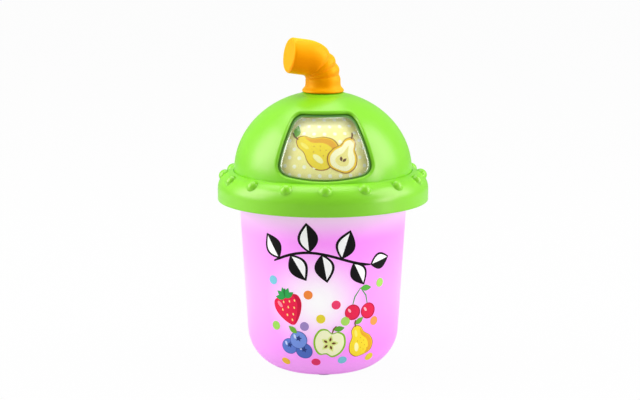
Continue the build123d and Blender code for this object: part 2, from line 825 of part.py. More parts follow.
with BuildPart() as dome:
    add(dome_shell(0, dome_wall, plate_top))
    split(bisect_by=Plane.XY.offset(land_z), keep=Keep.BOTTOM)
    add(window_block(0), mode=Mode.SUBTRACT)
    fillet(dome.edges().filter_by(on_dome_front), window_lip)
    # Land for the straw and its bearing
    add(turned(
        (0, land_z), (land_r, land_z), (land_foot_r, land_foot_z), (land_r, land_back), (0, land_back),
    ))
    with BuildSketch(Plane.XY.offset(bearing_low)):
        Circle(journal_r + bearing_wall)
    extrude(amount=bearing_length - land_drop)
    with BuildSketch(Plane.XY.offset(bearing_low)):
        Circle(journal_r + journal_gap)
    extrude(amount=bearing_length, mode=Mode.SUBTRACT)
    # Foot flange under the brim's clamp, cleared for the brim's bosses, and the sound ports
    with BuildSketch(Plane.XY.offset(plate_top)):
        Circle(flange_r - seat_gap)
        Circle(dome_r - dome_wall, mode=Mode.SUBTRACT)
        with screws_round(rim_screw_at):
            Circle(rim_boss_r + seat_gap, mode=Mode.SUBTRACT)
    extrude(amount=flange_thick)
    with BuildSketch(Plane.XY.offset(flange_top)):
        with back_row(dome_r - dome_wall / 2, sound_ports):
            Rectangle(2 * dome_wall, 2 * dome_wall)
    extrude(amount=rim_side, mode=Mode.SUBTRACT)
save(dome, "dome")

# ------------------------------------------------------------------ window lens
lens_back = lens_drop + lens_thick

with BuildPart() as lens_frame:
    add(dome_shell(dome_wall + seat_gap, lens_back, plate_top))
    add(window_block(lens_reach), mode=Mode.INTERSECT)

with BuildPart() as window_lens:
    add(dome_shell(lens_drop, lens_back, plate_top))
    add(window_block(-seat_gap), mode=Mode.INTERSECT)
    add(lens_frame.part)
save(window_lens, "window_lens")

# ------------------------------------------------------------------ spindle
flange_low = land_z + straw_lift - seat_gap
flange_high = flange_low + spindle_flange
tail_low = hub_low + seat_gap
straw_low = land_z + straw_lift

with BuildPart() as spindle:
    add(turned(
        (0, tail_low), (tail_r, tail_low), (tail_r, drum_top), (journal_r, drum_top),
        (journal_r, flange_low), (spindle_flange_r, flange_low), (spindle_flange_r, flange_high),
        (spigot_r, flange_high), (spigot_r, flange_high + spigot_length), (0, flange_high + spigot_length),
    ))
    with BuildSketch(Plane.XY.offset(tail_low)):
        with Locations((0, tail_flat + tail_r)):
            Rectangle(2 * tail_r, 2 * tail_r)
    extrude(amount=drum_top - tail_low, mode=Mode.SUBTRACT)
    with BuildSketch(Plane.XY.offset(flange_high)):
        with Locations((0, spigot_flat + spigot_r)):
            Rectangle(2 * spigot_r, 2 * spigot_r)
    extrude(amount=spigot_length, mode=Mode.SUBTRACT)
    with BuildSketch(Plane.XY.offset(tail_low)):
        Circle(case_pilot_r)
    extrude(amount=screw_grip + access_gap, mode=Mode.SUBTRACT)
save(spindle, "spindle")

# ------------------------------------------------------------------ straw with its bellows elbow
aim = radians(-90 - click_turn)
ahead = Vector(cos(aim), sin(aim), 0)
bend_middle = Vector(0, 0, bend_z) + ahead * bend_r
inner_side = bend_r - straw_base_r


def bend_plane(turn, out=0.0):
    """The plane across the straw at a turn round the bend, its origin out from the centreline."""
    arm = Vector(0, 0, sin(radians(turn))) - ahead * cos(radians(turn))
    along = Vector(0, 0, cos(radians(turn))) + ahead * sin(radians(turn))
    return Plane(origin=bend_middle + arm * (bend_r + out), x_dir=arm, z_dir=along)


def bellows_fold(*stations):
    """A smooth stretch of the bend through (turn, outer radius) stations, its inner side unmoved."""
    with BuildPart() as solid:
        for turn, outer in stations:
            with BuildSketch(bend_plane(turn, (outer + inner_side) / 2 - bend_r)):
                Circle((outer - inner_side) / 2)
        loft()
    return solid.part


base_side = bend_r + straw_base_r
full_side = bend_r + straw_r
fold_side = base_side - fold_depth
folds = [fold_first_turn + k * fold_turn for k in range(fold_count)]
lead_turn, lead_depth = fold_lead

with BuildPart() as straw:
    add(turned(
        (0, straw_low), (skirt_r - slip_gap, straw_low), (skirt_r, straw_low + slip_gap),
        (skirt_r, straw_low + skirt_height / 3), (straw_base_r, straw_low + skirt_height),
        (straw_base_r, bend_z), (0, bend_z),
    ))
    add(bellows_fold(
        (0, base_side), (folds[0] * lead_turn, base_side - fold_depth * lead_depth), (folds[0], fold_side),
    ))
    for fold in folds[:-1]:
        ridge = [(fold + fold_turn * turn, base_side - fold_depth * depth) for turn, depth in fold_ridge]
        add(bellows_fold((fold, fold_side), *ridge, (fold + fold_turn, fold_side)))
    add(bellows_fold(
        (folds[-1], fold_side), (folds[-1] + fold_turn * fold_last, base_side),
        (folds[-1] + fold_turn, full_side), (bend_turn, full_side),
    ))
    with BuildSketch(bend_plane(bend_turn, (full_side + inner_side) / 2 - bend_r)):
        Circle((full_side - inner_side) / 2)
    extrude(amount=straw_mouth)
    fillet(straw.edges().filter_by(GeomType.CIRCLE).sort_by(Axis(bend_middle, ahead))[-1], mouth_round)
    # Hollow bore, and the socket that the spindle's spigot and flange fill
    with BuildLine() as bore:
        Line((0, 0, flange_high), (0, 0, bend_z))
        elbow = ThreePointArc(*[bend_plane(turn).origin for turn in (0, bend_turn / 2, bend_turn)])
        Line(elbow @ 1, (elbow @ 1) + (elbow % 1) * (straw_mouth - 2 * mouth_round))
    with BuildSketch(Plane.XY.offset(flange_high)):
        Circle(straw_core_r)
    sweep(path=bore.line, mode=Mode.SUBTRACT)
    with BuildSketch(Plane.XY.offset(flange_high)):
        Circle(spigot_r + journal_gap)
    extrude(amount=spigot_length + journal_gap, mode=Mode.SUBTRACT)
    with BuildSketch(Plane.XY.offset(straw_low)):
        Circle(spindle_flange_r + journal_gap)
    extrude(amount=flange_high - straw_low, mode=Mode.SUBTRACT)
save(straw, "straw")

# ------------------------------------------------------------------ picture drum
label_low = drum_low + label_low_edge
label_high = drum_top - label_high_edge
plate_low = drum_top - drum_wall
hub_r = tail_r + hub_wall
rib_reach = dome_radius(plate_low, drum_inset + drum_wall / 2) - hub_r + seat_gap

with BuildPart() as drum:
    add(dome_shell(drum_inset, drum_inset + drum_wall, drum_low))
    split(bisect_by=Plane.XY.offset(drum_top), keep=Keep.BOTTOM)
    with BuildSketch(Plane.XY.offset(plate_low)):
        Circle(dome_radius(drum_top, drum_inset) - seat_gap)
    extrude(amount=drum_wall)
    with BuildSketch(Plane.XY.offset(hub_low)):
        Circle(hub_r)
    extrude(amount=hub_length)
    with BuildSketch(Plane.XY.offset(hub_low)):
        Circle(hub_flange_r)
    extrude(amount=hub_flange)
    with BuildSketch(Plane.XY.offset(plate_low - rib_depth)):
        with PolarLocations(hub_r - seat_gap + rib_reach / 2, picture_count, start_angle=-90):
            Rectangle(rib_reach, rib_thick)
    extrude(amount=rib_depth)
    with BuildSketch(Plane.XY.offset(hub_low)):
        Circle(tail_r + journal_gap)
        with Locations((0, tail_flat + journal_gap + tail_r)):
            Rectangle(2 * tail_r, 2 * tail_r, mode=Mode.SUBTRACT)
    extrude(amount=hub_length, mode=Mode.SUBTRACT)
    with BuildSketch(Plane.XY.offset(drum_low)):
        with PolarLocations(dome_r - drum_inset - drum_wall - notch_r / 2, picture_count):
            Circle(notch_r)
    extrude(amount=3 * notch_r, mode=Mode.SUBTRACT)
save(drum, "drum")

with BuildPart() as picture_labels:
    add(dome_shell(drum_inset - label_thick, drum_inset - label_glue, label_low))
    split(bisect_by=Plane.XY.offset(label_high), keep=Keep.BOTTOM)
    with BuildSketch(Plane.XY.offset(label_low)):
        with PolarLocations(dome_r / 2, picture_count, start_angle=-90 + click_turn / 2):
            Rectangle(dome_r, label_split)
    extrude(amount=label_high - label_low, mode=Mode.SUBTRACT)
save(picture_labels, "picture_labels")

with BuildPart() as thrust_washer:
    with BuildSketch(Plane.XY.offset(drum_top)):
        Circle(journal_r + bearing_wall)
        Circle(journal_r + seat_gap, mode=Mode.SUBTRACT)
    extrude(amount=washer_thick)
save(thrust_washer, "thrust_washer")

clamp_washer_r = tail_r + hub_wall / 2

with BuildPart() as clamp_washer:
    with BuildSketch(Plane.XY.offset(hub_low)):
        Circle(clamp_washer_r)
        Circle(case_pilot_r, mode=Mode.SUBTRACT)
    extrude(amount=-washer_thick)
save(clamp_washer, "clamp_washer")

with BuildPart() as spindle_screw:
    with Locations((0, 0, hub_low - washer_thick)):
        add(case_screw, rotation=(180, 0, 0))
save(spindle_screw, "spindle_screw")

# ------------------------------------------------------------------ contact wiper under the hub
wiper_r = (clamp_washer_r + hub_flange_r) / 2

with BuildPart() as contact_wiper:
    with BuildSketch(Plane.XY.offset(hub_low)):
        Circle(hub_flange_r - seat_gap)
        Circle(clamp_washer_r + slip_gap, mode=Mode.SUBTRACT)
    extrude(amount=-wiper_thick)
    with BuildSketch(Plane.XY.offset(hub_low)):
        with PolarLocations(wiper_r, wiper_legs, start_angle=-90):
            Rectangle(wiper_thick, wiper_leg)
    extrude(amount=-wiper_drop + slip_gap)
    with BuildSketch(Plane.XY.offset(selector_top + seat_gap)):
        with PolarLocations(wiper_r, wiper_legs, start_angle=-90):
            RectangleRounded(wiper_leg, wiper_leg, wiper_thick)
    extrude(amount=wiper_thick)
save(contact_wiper, "contact_wiper")

with BuildPart() as selector_board:
    with BuildSketch(Plane.XY.offset(selector_low)):
        Circle(selector_r)
        Circle(case_head_r + access_gap, mode=Mode.SUBTRACT)
        with PolarLocations(selector_post_at, selector_post_count, start_angle=selector_post_turn):
            Circle(board_pilot_r, mode=Mode.SUBTRACT)
    extrude(amount=board_thick)
save(selector_board, "selector_board")

with BuildPart() as detent_spring:
    with BuildSketch(Plane.XY.offset(plate_top + seat_gap)):
        with Locations((detent_x, 0)):
            Rectangle(detent_thick, detent_width)
    extrude(amount=drum_low + 2 * notch_r - plate_top)
    with BuildSketch(Plane.XY.offset(drum_low + seat_gap)):
        with Locations((detent_root, 0)):
            Circle(detent_nose_r)
    extrude(amount=2 * notch_r)
save(detent_spring, "detent_spring")

# ------------------------------------------------------------------ main board, sound chip and sounder
with BuildPart() as main_board:
    with BuildSketch(Plane.XY.offset(main_board_z)):
        with Locations((0, main_board_at)):
            RectangleRounded(main_board_x, main_board_y, post_edge)
        with Locations(*board_spots):
            Circle(board_pilot_r, mode=Mode.SUBTRACT)
    extrude(amount=board_thick)
save(main_board, "main_board")

with BuildPart() as sound_chip:
    with BuildSketch(Plane.XY.offset(main_board_z + board_thick)):
        with Locations((0, main_board_at)):
            Circle(chip_r)
    extrude(amount=chip_height, taper=chip_taper)
save(sound_chip, "sound_chip")

selector_spots = PolarLocations(selector_post_at, selector_post_count, start_angle=selector_post_turn)

with BuildPart() as board_screws:
    with Locations(*[(x, y, main_board_z + board_thick) for x, y in board_spots]):
        add(board_screw)
    with Locations(*[(x, y, switch_board_low + board_thick) for x, y in switch_spots]):
        add(board_screw)
    with Locations(*[(x, y, tower_top + board_thick) for x, y in lamp_spots]):
        add(board_screw)
    with Locations(*raised(selector_spots, selector_top)):
        add(board_screw)
save(board_screws, "board_screws")

with BuildPart() as speaker:
    with Locations((0, speaker_y, plate_top + seat_gap)):
        add(turned(
            (0, cone_depth), (cone_cap_r, cone_depth), (cone_r, 0), (speaker_r, 0),
            (speaker_r, speaker_frame), (magnet_r, speaker_basket), (magnet_r, speaker_height),
            (0, speaker_height),
        ))
save(speaker, "speaker")
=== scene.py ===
"""Looks of a light-up toy smoothie cup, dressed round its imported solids.

Sizes are in millimetres and turn into metres where a mesh is made. The front faces -Y.
"""
from math import asin, cos, degrees, hypot, pi, radians, sin, sqrt, tan

import bmesh
import bpy
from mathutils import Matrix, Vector


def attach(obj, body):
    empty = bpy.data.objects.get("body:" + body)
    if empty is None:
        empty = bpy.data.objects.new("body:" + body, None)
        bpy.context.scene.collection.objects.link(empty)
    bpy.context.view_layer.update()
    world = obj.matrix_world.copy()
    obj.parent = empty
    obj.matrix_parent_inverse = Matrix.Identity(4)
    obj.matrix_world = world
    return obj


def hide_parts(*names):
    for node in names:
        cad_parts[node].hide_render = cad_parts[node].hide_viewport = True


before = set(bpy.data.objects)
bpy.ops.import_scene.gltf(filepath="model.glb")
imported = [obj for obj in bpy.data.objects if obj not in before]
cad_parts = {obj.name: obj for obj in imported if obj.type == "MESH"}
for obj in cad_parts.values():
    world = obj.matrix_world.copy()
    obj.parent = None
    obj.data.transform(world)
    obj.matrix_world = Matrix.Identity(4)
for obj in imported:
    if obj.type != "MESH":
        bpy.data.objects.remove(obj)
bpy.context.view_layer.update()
scene = bpy.context.scene
MM = 0.001

# ------------------------------------------------------------------ sizes shared with the solids
# Cup: a leaning wall over a round corner
CUP_FOOT_R = 16.8
CUP_MOUTH_R = 41.8
CUP_HEIGHT = 86.0
CUP_LEAN = radians(3.45)
CUP_SPREAD = CUP_MOUTH_R - CUP_FOOT_R - CUP_HEIGHT * tan(CUP_LEAN)
CUP_CORNER_R = CUP_SPREAD * cos(CUP_LEAN) / (1 - sin(CUP_LEAN))
WALL_FOOT = CUP_CORNER_R * (1 - sin(CUP_LEAN))

# Brim: a quarter round on an upright wall that hangs past the base plate's edge
BRIM_R = 52.5
BRIM_ROUND = 9.0
BRIM_LOW = 85.6
BRIM_BEND_Z = 91.3
BRIM_BEND_R = BRIM_R - BRIM_ROUND
BRIM_TOP = BRIM_BEND_Z + BRIM_ROUND
BRIM_WALL = 2.0
BRIM_INNER_R = 44.4
PLATE_TOP = 88.0
FLANGE_R = 46.5
FLANGE_TOP = 90.0
RIVETS = 16
RIVET_R = 3.1
RIVET_RISE = 2.1
RIVET_LEAN = radians(41.0)

# Dome: half an ellipse turned about the axis, with a flat land and a bearing under the straw
DOME_R = 44.3
DOME_RISE = 39.6
DOME_Z = 100.1
DOME_WALL = 2.2
LAND_Z = 139.2
LAND_FOOT_R = 13.0
BEARING_LOW = 131.0
BEARING_HIGH = 134.8
JOURNAL_R = 5.05
BEARING_R = 8.4

# Lens and picture labels, by how far they lie in from the dome's skin
LENS_DROP = 1.0
LENS_BACK = 3.3
LENS_REACH = 2.0
LABEL_INSET = 4.4
LABEL_BACK = 4.55
LABEL_R = DOME_R - LABEL_INSET
LABEL_RISE = DOME_RISE - LABEL_INSET
LABEL_LOW = 99.5
LABEL_HIGH = 129.7
LABEL_SPLIT = 1.6
PICTURES = 5

# Straw: a flared skirt, a bend with three folds and a short closed end
STRAW_LOW = 139.4
STRAW_BEND_Z = 145.7
STRAW_BEND_R = 11.0
STRAW_BASE_R = 8.7
STRAW_R = 9.0
SKIRT_R = 10.4
STRAW_TURN = 81.0
STRAW_MOUTH = 8.8
MOUTH_ROUND = 1.5
SOCKET_R = 6.25
SOCKET_TOP = 145.45
HOLLOW_R = 8.05
HOLLOW_TOP = 140.8
FOLD_FIRST = 7.0
FOLD_TURN = 17.8
FOLDS = 3
FOLD_DEPTH = 0.8
FOLD_INSIDE = 0.32
FOLD_FADE = 1.25
FOLD_SHARPNESS = 1.7


# ------------------------------------------------------------------ small tools
def linear(colour):
    """An sRGB hex colour as linear red, green, blue and alpha."""
    parts = [int(colour[i:i + 2], 16) / 255 for i in (1, 3, 5)]
    return [*(c / 12.92 if c <= 0.04045 else ((c + 0.055) / 1.055) ** 2.4 for c in parts), 1.0]


def darker(colour, share):
    """An sRGB hex colour as linear values, with its light cut to a share."""
    return [c * share for c in linear(colour)[:3]] + [1.0]


def add_node(tree, kind, inputs=None, **settings):
    """Adds a node with its settings, and links or sets its inputs."""
    node = tree.nodes.new(kind)
    for name, value in settings.items():
        setattr(node, name, value)
    for socket, value in (inputs or {}).items():
        if isinstance(value, bpy.types.NodeSocket):
            tree.links.new(value, node.inputs[socket])
        else:
            node.inputs[socket].default_value = value
    return node


def new_finish(name):
    """A new material with an empty tree and its output node."""
    material = bpy.data.materials.new(name)
    material.use_nodes = True
    material.node_tree.nodes.clear()
    return material, material.node_tree, add_node(material.node_tree, "ShaderNodeOutputMaterial")


def mesh_thing(name, points, faces, edges=()):
    """A mesh object made of points in millimetres."""
    mesh = bpy.data.meshes.new(name)
    mesh.from_pydata([(x * MM, y * MM, z * MM) for x, y, z in points], edges, faces)
    return bpy.data.objects.new(name, mesh)


def finished(thing, material, body, sharp=35, stands_for=()):
    """Gives a mesh object its smoothness, material and body, and shows it."""
    thing.data.shade_smooth()
    thing.data.set_sharp_from_angle(angle=radians(sharp))
    thing.data.materials.clear()
    thing.data.materials.append(material)
    if thing.name not in scene.collection.objects:
        scene.collection.objects.link(thing)
    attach(thing, body)
    if stands_for:
        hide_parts(*stands_for)
    return thing


def outward(thing):
    """Joins a closed mesh's doubled points and turns its faces outwards."""
    mesh = bmesh.new()
    mesh.from_mesh(thing.data)
    bmesh.ops.remove_doubles(mesh, verts=mesh.verts, dist=1e-7)
    bmesh.ops.recalc_face_normals(mesh, faces=mesh.faces)
    mesh.to_mesh(thing.data)
    mesh.free()
    return thing


def welded(node, name, material, body):
    """A CAD node's shape with its triangles joined, so that light runs smoothly over it."""
    sharp = 28
    thing = bpy.data.objects.new(name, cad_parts[node].data.copy())
    mesh = bmesh.new()
    mesh.from_mesh(thing.data)
    bmesh.ops.remove_doubles(mesh, verts=mesh.verts, dist=2e-6)
    mesh.to_mesh(thing.data)
    mesh.free()
    for attribute in list(thing.data.attributes):
        if attribute.name.startswith("custom_normal"):
            thing.data.attributes.remove(attribute)
    return finished(thing, material, body, sharp, (node,))


def around(radius, count, height=0.0):
    """A ring of points about the axis, anticlockwise from the front."""
    turns = [2 * pi * k / count for k in range(count)]
    return [Vector((radius * sin(a), -radius * cos(a), height)) for a in turns]


def loop_faces(first, second, count):
    """Quads between two closed loops of points, by their first indices."""
    return [
        (first + i, first + (i + 1) % count, second + (i + 1) % count, second + i)
        for i in range(count)
    ]


def capped(rings, first_pole, last_pole):
    """Points and faces of a closed shape that runs from a pole through rings to another pole. Its
    faces all turn the same way, which outward() sets right."""
    count = len(rings[0])
    points = [first_pole] + [point for ring in rings for point in ring] + [last_pole]
    faces = [(0, 1 + (k + 1) % count, 1 + k) for k in range(count)]
    for ring in range(len(rings) - 1):
        faces += loop_faces(1 + ring * count, 1 + (ring + 1) * count, count)
    last = 1 + (len(rings) - 1) * count
    faces += [(len(points) - 1, last + k, last + (k + 1) % count) for k in range(count)]
    return points, faces


def smooth_step(share):
    """Eases a share of the way, held between 0 and 1, at both its ends."""
    share = min(max(share, 0.0), 1.0)
    return share * share * (3 - 2 * share)


# ------------------------------------------------------------------ geometry trees
def new_tree(name, inputs):
    """A geometry tree with named inputs, each given with its kind, and what its input node gives."""
    tree = bpy.data.node_groups.new(name, "GeometryNodeTree")
    for label, kind in {"Shape": "Geometry", **inputs, "Finish": "Material"}.items():
        tree.interface.new_socket(label, in_out="INPUT", socket_type="NodeSocket" + kind)
    tree.interface.new_socket("Geometry", in_out="OUTPUT", socket_type="NodeSocketGeometry")
    return tree, add_node(tree, "NodeGroupInput").outputs


def end_tree(tree, geometry, given):
    """Ends a geometry tree: its copies become real and take the finish."""
    real = add_node(tree, "GeometryNodeRealizeInstances", {0: geometry})
    painted = add_node(tree, "GeometryNodeSetMaterial", {
        "Geometry": real.outputs[0], "Material": given["Finish"],
    })
    add_node(tree, "NodeGroupOutput", {0: painted.outputs[0]})


def grown(holder, tree, values, name):
    """Runs a geometry tree on a holder and keeps its result as a plain mesh under a name."""
    scene.collection.objects.link(holder)
    modifier = holder.modifiers.new("grow", "NODES")
    modifier.node_group = tree
    for socket in tree.interface.items_tree:
        if socket.name in values:
            modifier[socket.identifier] = values[socket.name]
    bpy.context.view_layer.update()
    graph = bpy.context.evaluated_depsgraph_get()
    mesh = bpy.data.meshes.new_from_object(
        holder.evaluated_get(graph), preserve_all_data_layers=True, depsgraph=graph,
    )
    bpy.data.objects.remove(holder)
    return bpy.data.objects.new(name, mesh)


# ------------------------------------------------------------------ plastics, metals and inks
def moulded(
    name, colour, roughness, peel=2.2, peel_height=0.004, drift=0.05, mirror=0.5,
    painted_underside_shade=None, shine="#FFFFFF", rim=0.0,
):
    """A moulded plastic: its shade drifts slowly, and the mould's peel and rubbed spots break its
    gloss. Peel is its ripples' size, mirror its shine, and rim the soft light along its edges."""
    material, tree, output = new_finish(name)
    place = add_node(tree, "ShaderNodeTexCoord")
    flow = add_node(tree, "ShaderNodeTexNoise", {
        "Vector": place.outputs["Object"], "Scale": 1 / (26 * MM), "Detail": 2.0,
    })
    shade = add_node(tree, "ShaderNodeMix", {
        "Factor": flow.outputs["Fac"], 6: darker(colour, 1 - 2 * drift), 7: linear(colour),
    }, data_type="RGBA")
    if painted_underside_shade:
        # Painted shade: walls that face down are given a deeper colour, standing in for their being lit
        # only by bounces in the plastic's own colour
        facing = add_node(tree, "ShaderNodeSeparateXYZ", {0: place.outputs["Normal"]})
        share = add_node(tree, "ShaderNodeMapRange", {
            "Value": facing.outputs["Z"], "From Min": -0.8, "From Max": 0.8,
        }, interpolation_type="SMOOTHSTEP")
        shade = add_node(tree, "ShaderNodeMix", {
            "Factor": share.outputs["Result"], 6: linear(painted_underside_shade), 7: shade.outputs[2],
        }, data_type="RGBA")
    rubbed = add_node(tree, "ShaderNodeTexNoise", {
        "Vector": place.outputs["Object"], "Scale": 1 / (7 * MM), "Detail": 4.0, "Roughness": 0.6,
    })
    gloss = add_node(tree, "ShaderNodeMapRange", {
        "Value": rubbed.outputs["Fac"], "From Min": 0.3, "From Max": 0.7,
        "To Min": roughness - 0.03, "To Max": roughness + 0.04,
    })
    skin = add_node(tree, "ShaderNodeTexNoise", {
        "Vector": place.outputs["Object"], "Scale": 1 / (peel * MM), "Detail": 1.0,
    })
    peeled = add_node(tree, "ShaderNodeBump", {
        "Height": skin.outputs["Fac"], "Distance": peel_height * MM, "Strength": 1.0,
    })
    shader = add_node(tree, "ShaderNodeBsdfPrincipled", {
        "Base Color": shade.outputs[2], "Roughness": gloss.outputs["Result"],
        "Normal": peeled.outputs["Normal"], "IOR": 1.52,
        "Specular IOR Level": mirror, "Specular Tint": linear(shine),
        "Sheen Weight": rim, "Sheen Roughness": 0.5, "Sheen Tint": linear(shine),
    })
    tree.links.new(shader.outputs["BSDF"], output.inputs["Surface"])
    return material


def plated(name, colour, roughness, grain):
    """A plated metal: fine grain that clouds its shine."""
    material, tree, output = new_finish(name)
    place = add_node(tree, "ShaderNodeTexCoord")
    cloud = add_node(tree, "ShaderNodeTexNoise", {
        "Vector": place.outputs["Object"], "Scale": 1 / (grain * MM), "Detail": 3.0,
    })
    tone = add_node(tree, "ShaderNodeMix", {
        "Factor": cloud.outputs["Fac"], 6: darker(colour, 0.82), 7: linear(colour),
    }, data_type="RGBA")
    gloss = add_node(tree, "ShaderNodeMapRange", {
        "Value": cloud.outputs["Fac"], "From Min": 0.3, "From Max": 0.7,
        "To Min": roughness - 0.06, "To Max": roughness + 0.08,
    })
    shader = add_node(tree, "ShaderNodeBsdfPrincipled", {
        "Base Color": tone.outputs[2], "Roughness": gloss.outputs["Result"], "Metallic": 1.0,
    })
    tree.links.new(shader.outputs["BSDF"], output.inputs["Surface"])
    return material


def lit_polypropylene():
    """Milky polypropylene over a pink lamp: a white core at the lamp's height that fades through
    pink to greyer lilac at the mouth and the foot, with slow clouds from the uneven wall."""
    lamp_left, lamp_height, core_reach = 3.0, 41.5, 30.5
    belt_height, belt_reach = 40.0, 28.0
    material, tree, output = new_finish("lit milky polypropylene")
    place = add_node(tree, "ShaderNodeTexCoord")
    # The wall in front of and behind the lamp glows most, whatever its depth along Y
    spread = add_node(tree, "ShaderNodeMapping", {
        "Vector": place.outputs["Object"], "Location": (lamp_left * MM, 0, -lamp_height * MM),
        "Scale": (1.0, 0.0, 1.0),
    })
    away = add_node(tree, "ShaderNodeVectorMath", {0: spread.outputs["Vector"]}, operation="LENGTH")
    height = add_node(tree, "ShaderNodeSeparateXYZ", {0: place.outputs["Object"]})
    cloud = add_node(tree, "ShaderNodeTexNoise", {
        "Vector": place.outputs["Object"], "Scale": 1 / (34 * MM), "Detail": 1.5,
    })
    core = add_node(tree, "ShaderNodeMapRange", {
        "Value": away.outputs["Value"], "From Min": 0.0, "From Max": core_reach * MM,
        "To Min": 1.0, "To Max": 0.0,
    }, interpolation_type="SMOOTHSTEP")
    # The battery box shades the back, so the glow is weaker there
    shaded = add_node(tree, "ShaderNodeMapRange", {
        "Value": height.outputs["Y"], "From Min": -12 * MM, "From Max": 12 * MM,
        "To Min": 1.0, "To Max": 0.5,
    }, interpolation_type="SMOOTHSTEP")
    lobe = add_node(tree, "ShaderNodeMath", {
        0: core.outputs["Result"], 1: shaded.outputs["Result"],
    }, operation="MULTIPLY")
    # A faint belt at the lamp's height runs all round
    over = add_node(tree, "ShaderNodeMath", {
        0: height.outputs["Z"], 1: belt_height * MM,
    }, operation="SUBTRACT")
    off_level = add_node(tree, "ShaderNodeMath", {0: over.outputs["Value"]}, operation="ABSOLUTE")
    strength = add_node(tree, "ShaderNodeMapRange", {
        "Value": height.outputs["Y"], "From Min": -20 * MM, "From Max": 12 * MM,
        "To Min": 0.08, "To Max": 0.28,
    }, interpolation_type="SMOOTHSTEP")
    belt = add_node(tree, "ShaderNodeMapRange", {
        "Value": off_level.outputs["Value"], "From Min": 0.0, "From Max": belt_reach * MM,
        "To Min": strength.outputs["Result"], "To Max": 0.0,
    }, interpolation_type="SMOOTHSTEP")
    glow = add_node(tree, "ShaderNodeMath", {
        0: lobe.outputs["Value"], 1: belt.outputs["Result"],
    }, operation="MAXIMUM")
    # The light leans a little to the right, where the wall is pinkest
    across = add_node(tree, "ShaderNodeMapRange", {
        "Value": height.outputs["X"], "From Min": -40 * MM, "From Max": 14 * MM,
        "To Min": -0.12, "To Max": 0.88,
    }, interpolation_type="SMOOTHSTEP")
    clouds = add_node(tree, "ShaderNodeMapRange", {
        "Value": cloud.outputs["Fac"], "From Min": 0.3, "From Max": 0.7,
        "To Min": -0.2, "To Max": 0.25,
    })
    pinkness = add_node(tree, "ShaderNodeMath", {
        0: across.outputs["Result"], 1: clouds.outputs["Result"],
    }, operation="ADD", use_clamp=True)
    pinks = add_node(tree, "ShaderNodeMix", {
        "Factor": pinkness.outputs["Value"], 6: linear("#FA9FFB"), 7: linear("#FC8FFC"),
    }, data_type="RGBA")
    mouth = add_node(tree, "ShaderNodeMapRange", {
        "Value": height.outputs["Z"], "From Min": 70 * MM, "From Max": 84 * MM,
    }, interpolation_type="SMOOTHSTEP")
    foot = add_node(tree, "ShaderNodeMapRange", {
        "Value": height.outputs["Z"], "From Min": 1 * MM, "From Max": 20 * MM,
        "To Min": 1.0, "To Max": 0.0,
    }, interpolation_type="SMOOTHSTEP")
    upper = add_node(tree, "ShaderNodeMix", {
        "Factor": mouth.outputs["Result"], 6: pinks.outputs[2], 7: linear("#F0C8F0"),
    }, data_type="RGBA")
    lower = add_node(tree, "ShaderNodeMix", {
        "Factor": foot.outputs["Result"], 6: upper.outputs[2], 7: linear("#F0A0F2"),
    }, data_type="RGBA")
    tint = add_node(tree, "ShaderNodeMix", {
        "Factor": glow.outputs["Value"], 6: lower.outputs[2], 7: linear("#FFFFFF"),
    }, data_type="RGBA")
    # What daylight gives back of that tint, and what the lamp adds to it
    unlit = add_node(tree, "ShaderNodeMix", {
        "Factor": 1.0, 6: tint.outputs[2], 7: [0.62, 0.62, 0.62, 1.0],
    }, data_type="RGBA", blend_type="MULTIPLY")
    dimmed = add_node(tree, "ShaderNodeMath", {
        0: mouth.outputs["Result"], 1: foot.outputs["Result"],
    }, operation="MAXIMUM")
    lamp = add_node(tree, "ShaderNodeMapRange", {
        "Value": dimmed.outputs["Value"], "To Min": 0.45, "To Max": 0.49,
    })
    skin = add_node(tree, "ShaderNodeTexNoise", {
        "Vector": place.outputs["Object"], "Scale": 1 / (1.6 * MM), "Detail": 2.0,
    })
    frosted = add_node(tree, "ShaderNodeBump", {
        "Height": skin.outputs["Fac"], "Distance": 0.004 * MM, "Strength": 1.0,
    })
    shader = add_node(tree, "ShaderNodeBsdfPrincipled", {
        "Base Color": unlit.outputs[2], "Roughness": 0.38, "IOR": 1.49,
        "Emission Color": tint.outputs[2], "Emission Strength": lamp.outputs["Result"],
        "Normal": frosted.outputs["Normal"],
    })
    tree.links.new(shader.outputs["BSDF"], output.inputs["Surface"])
    return material


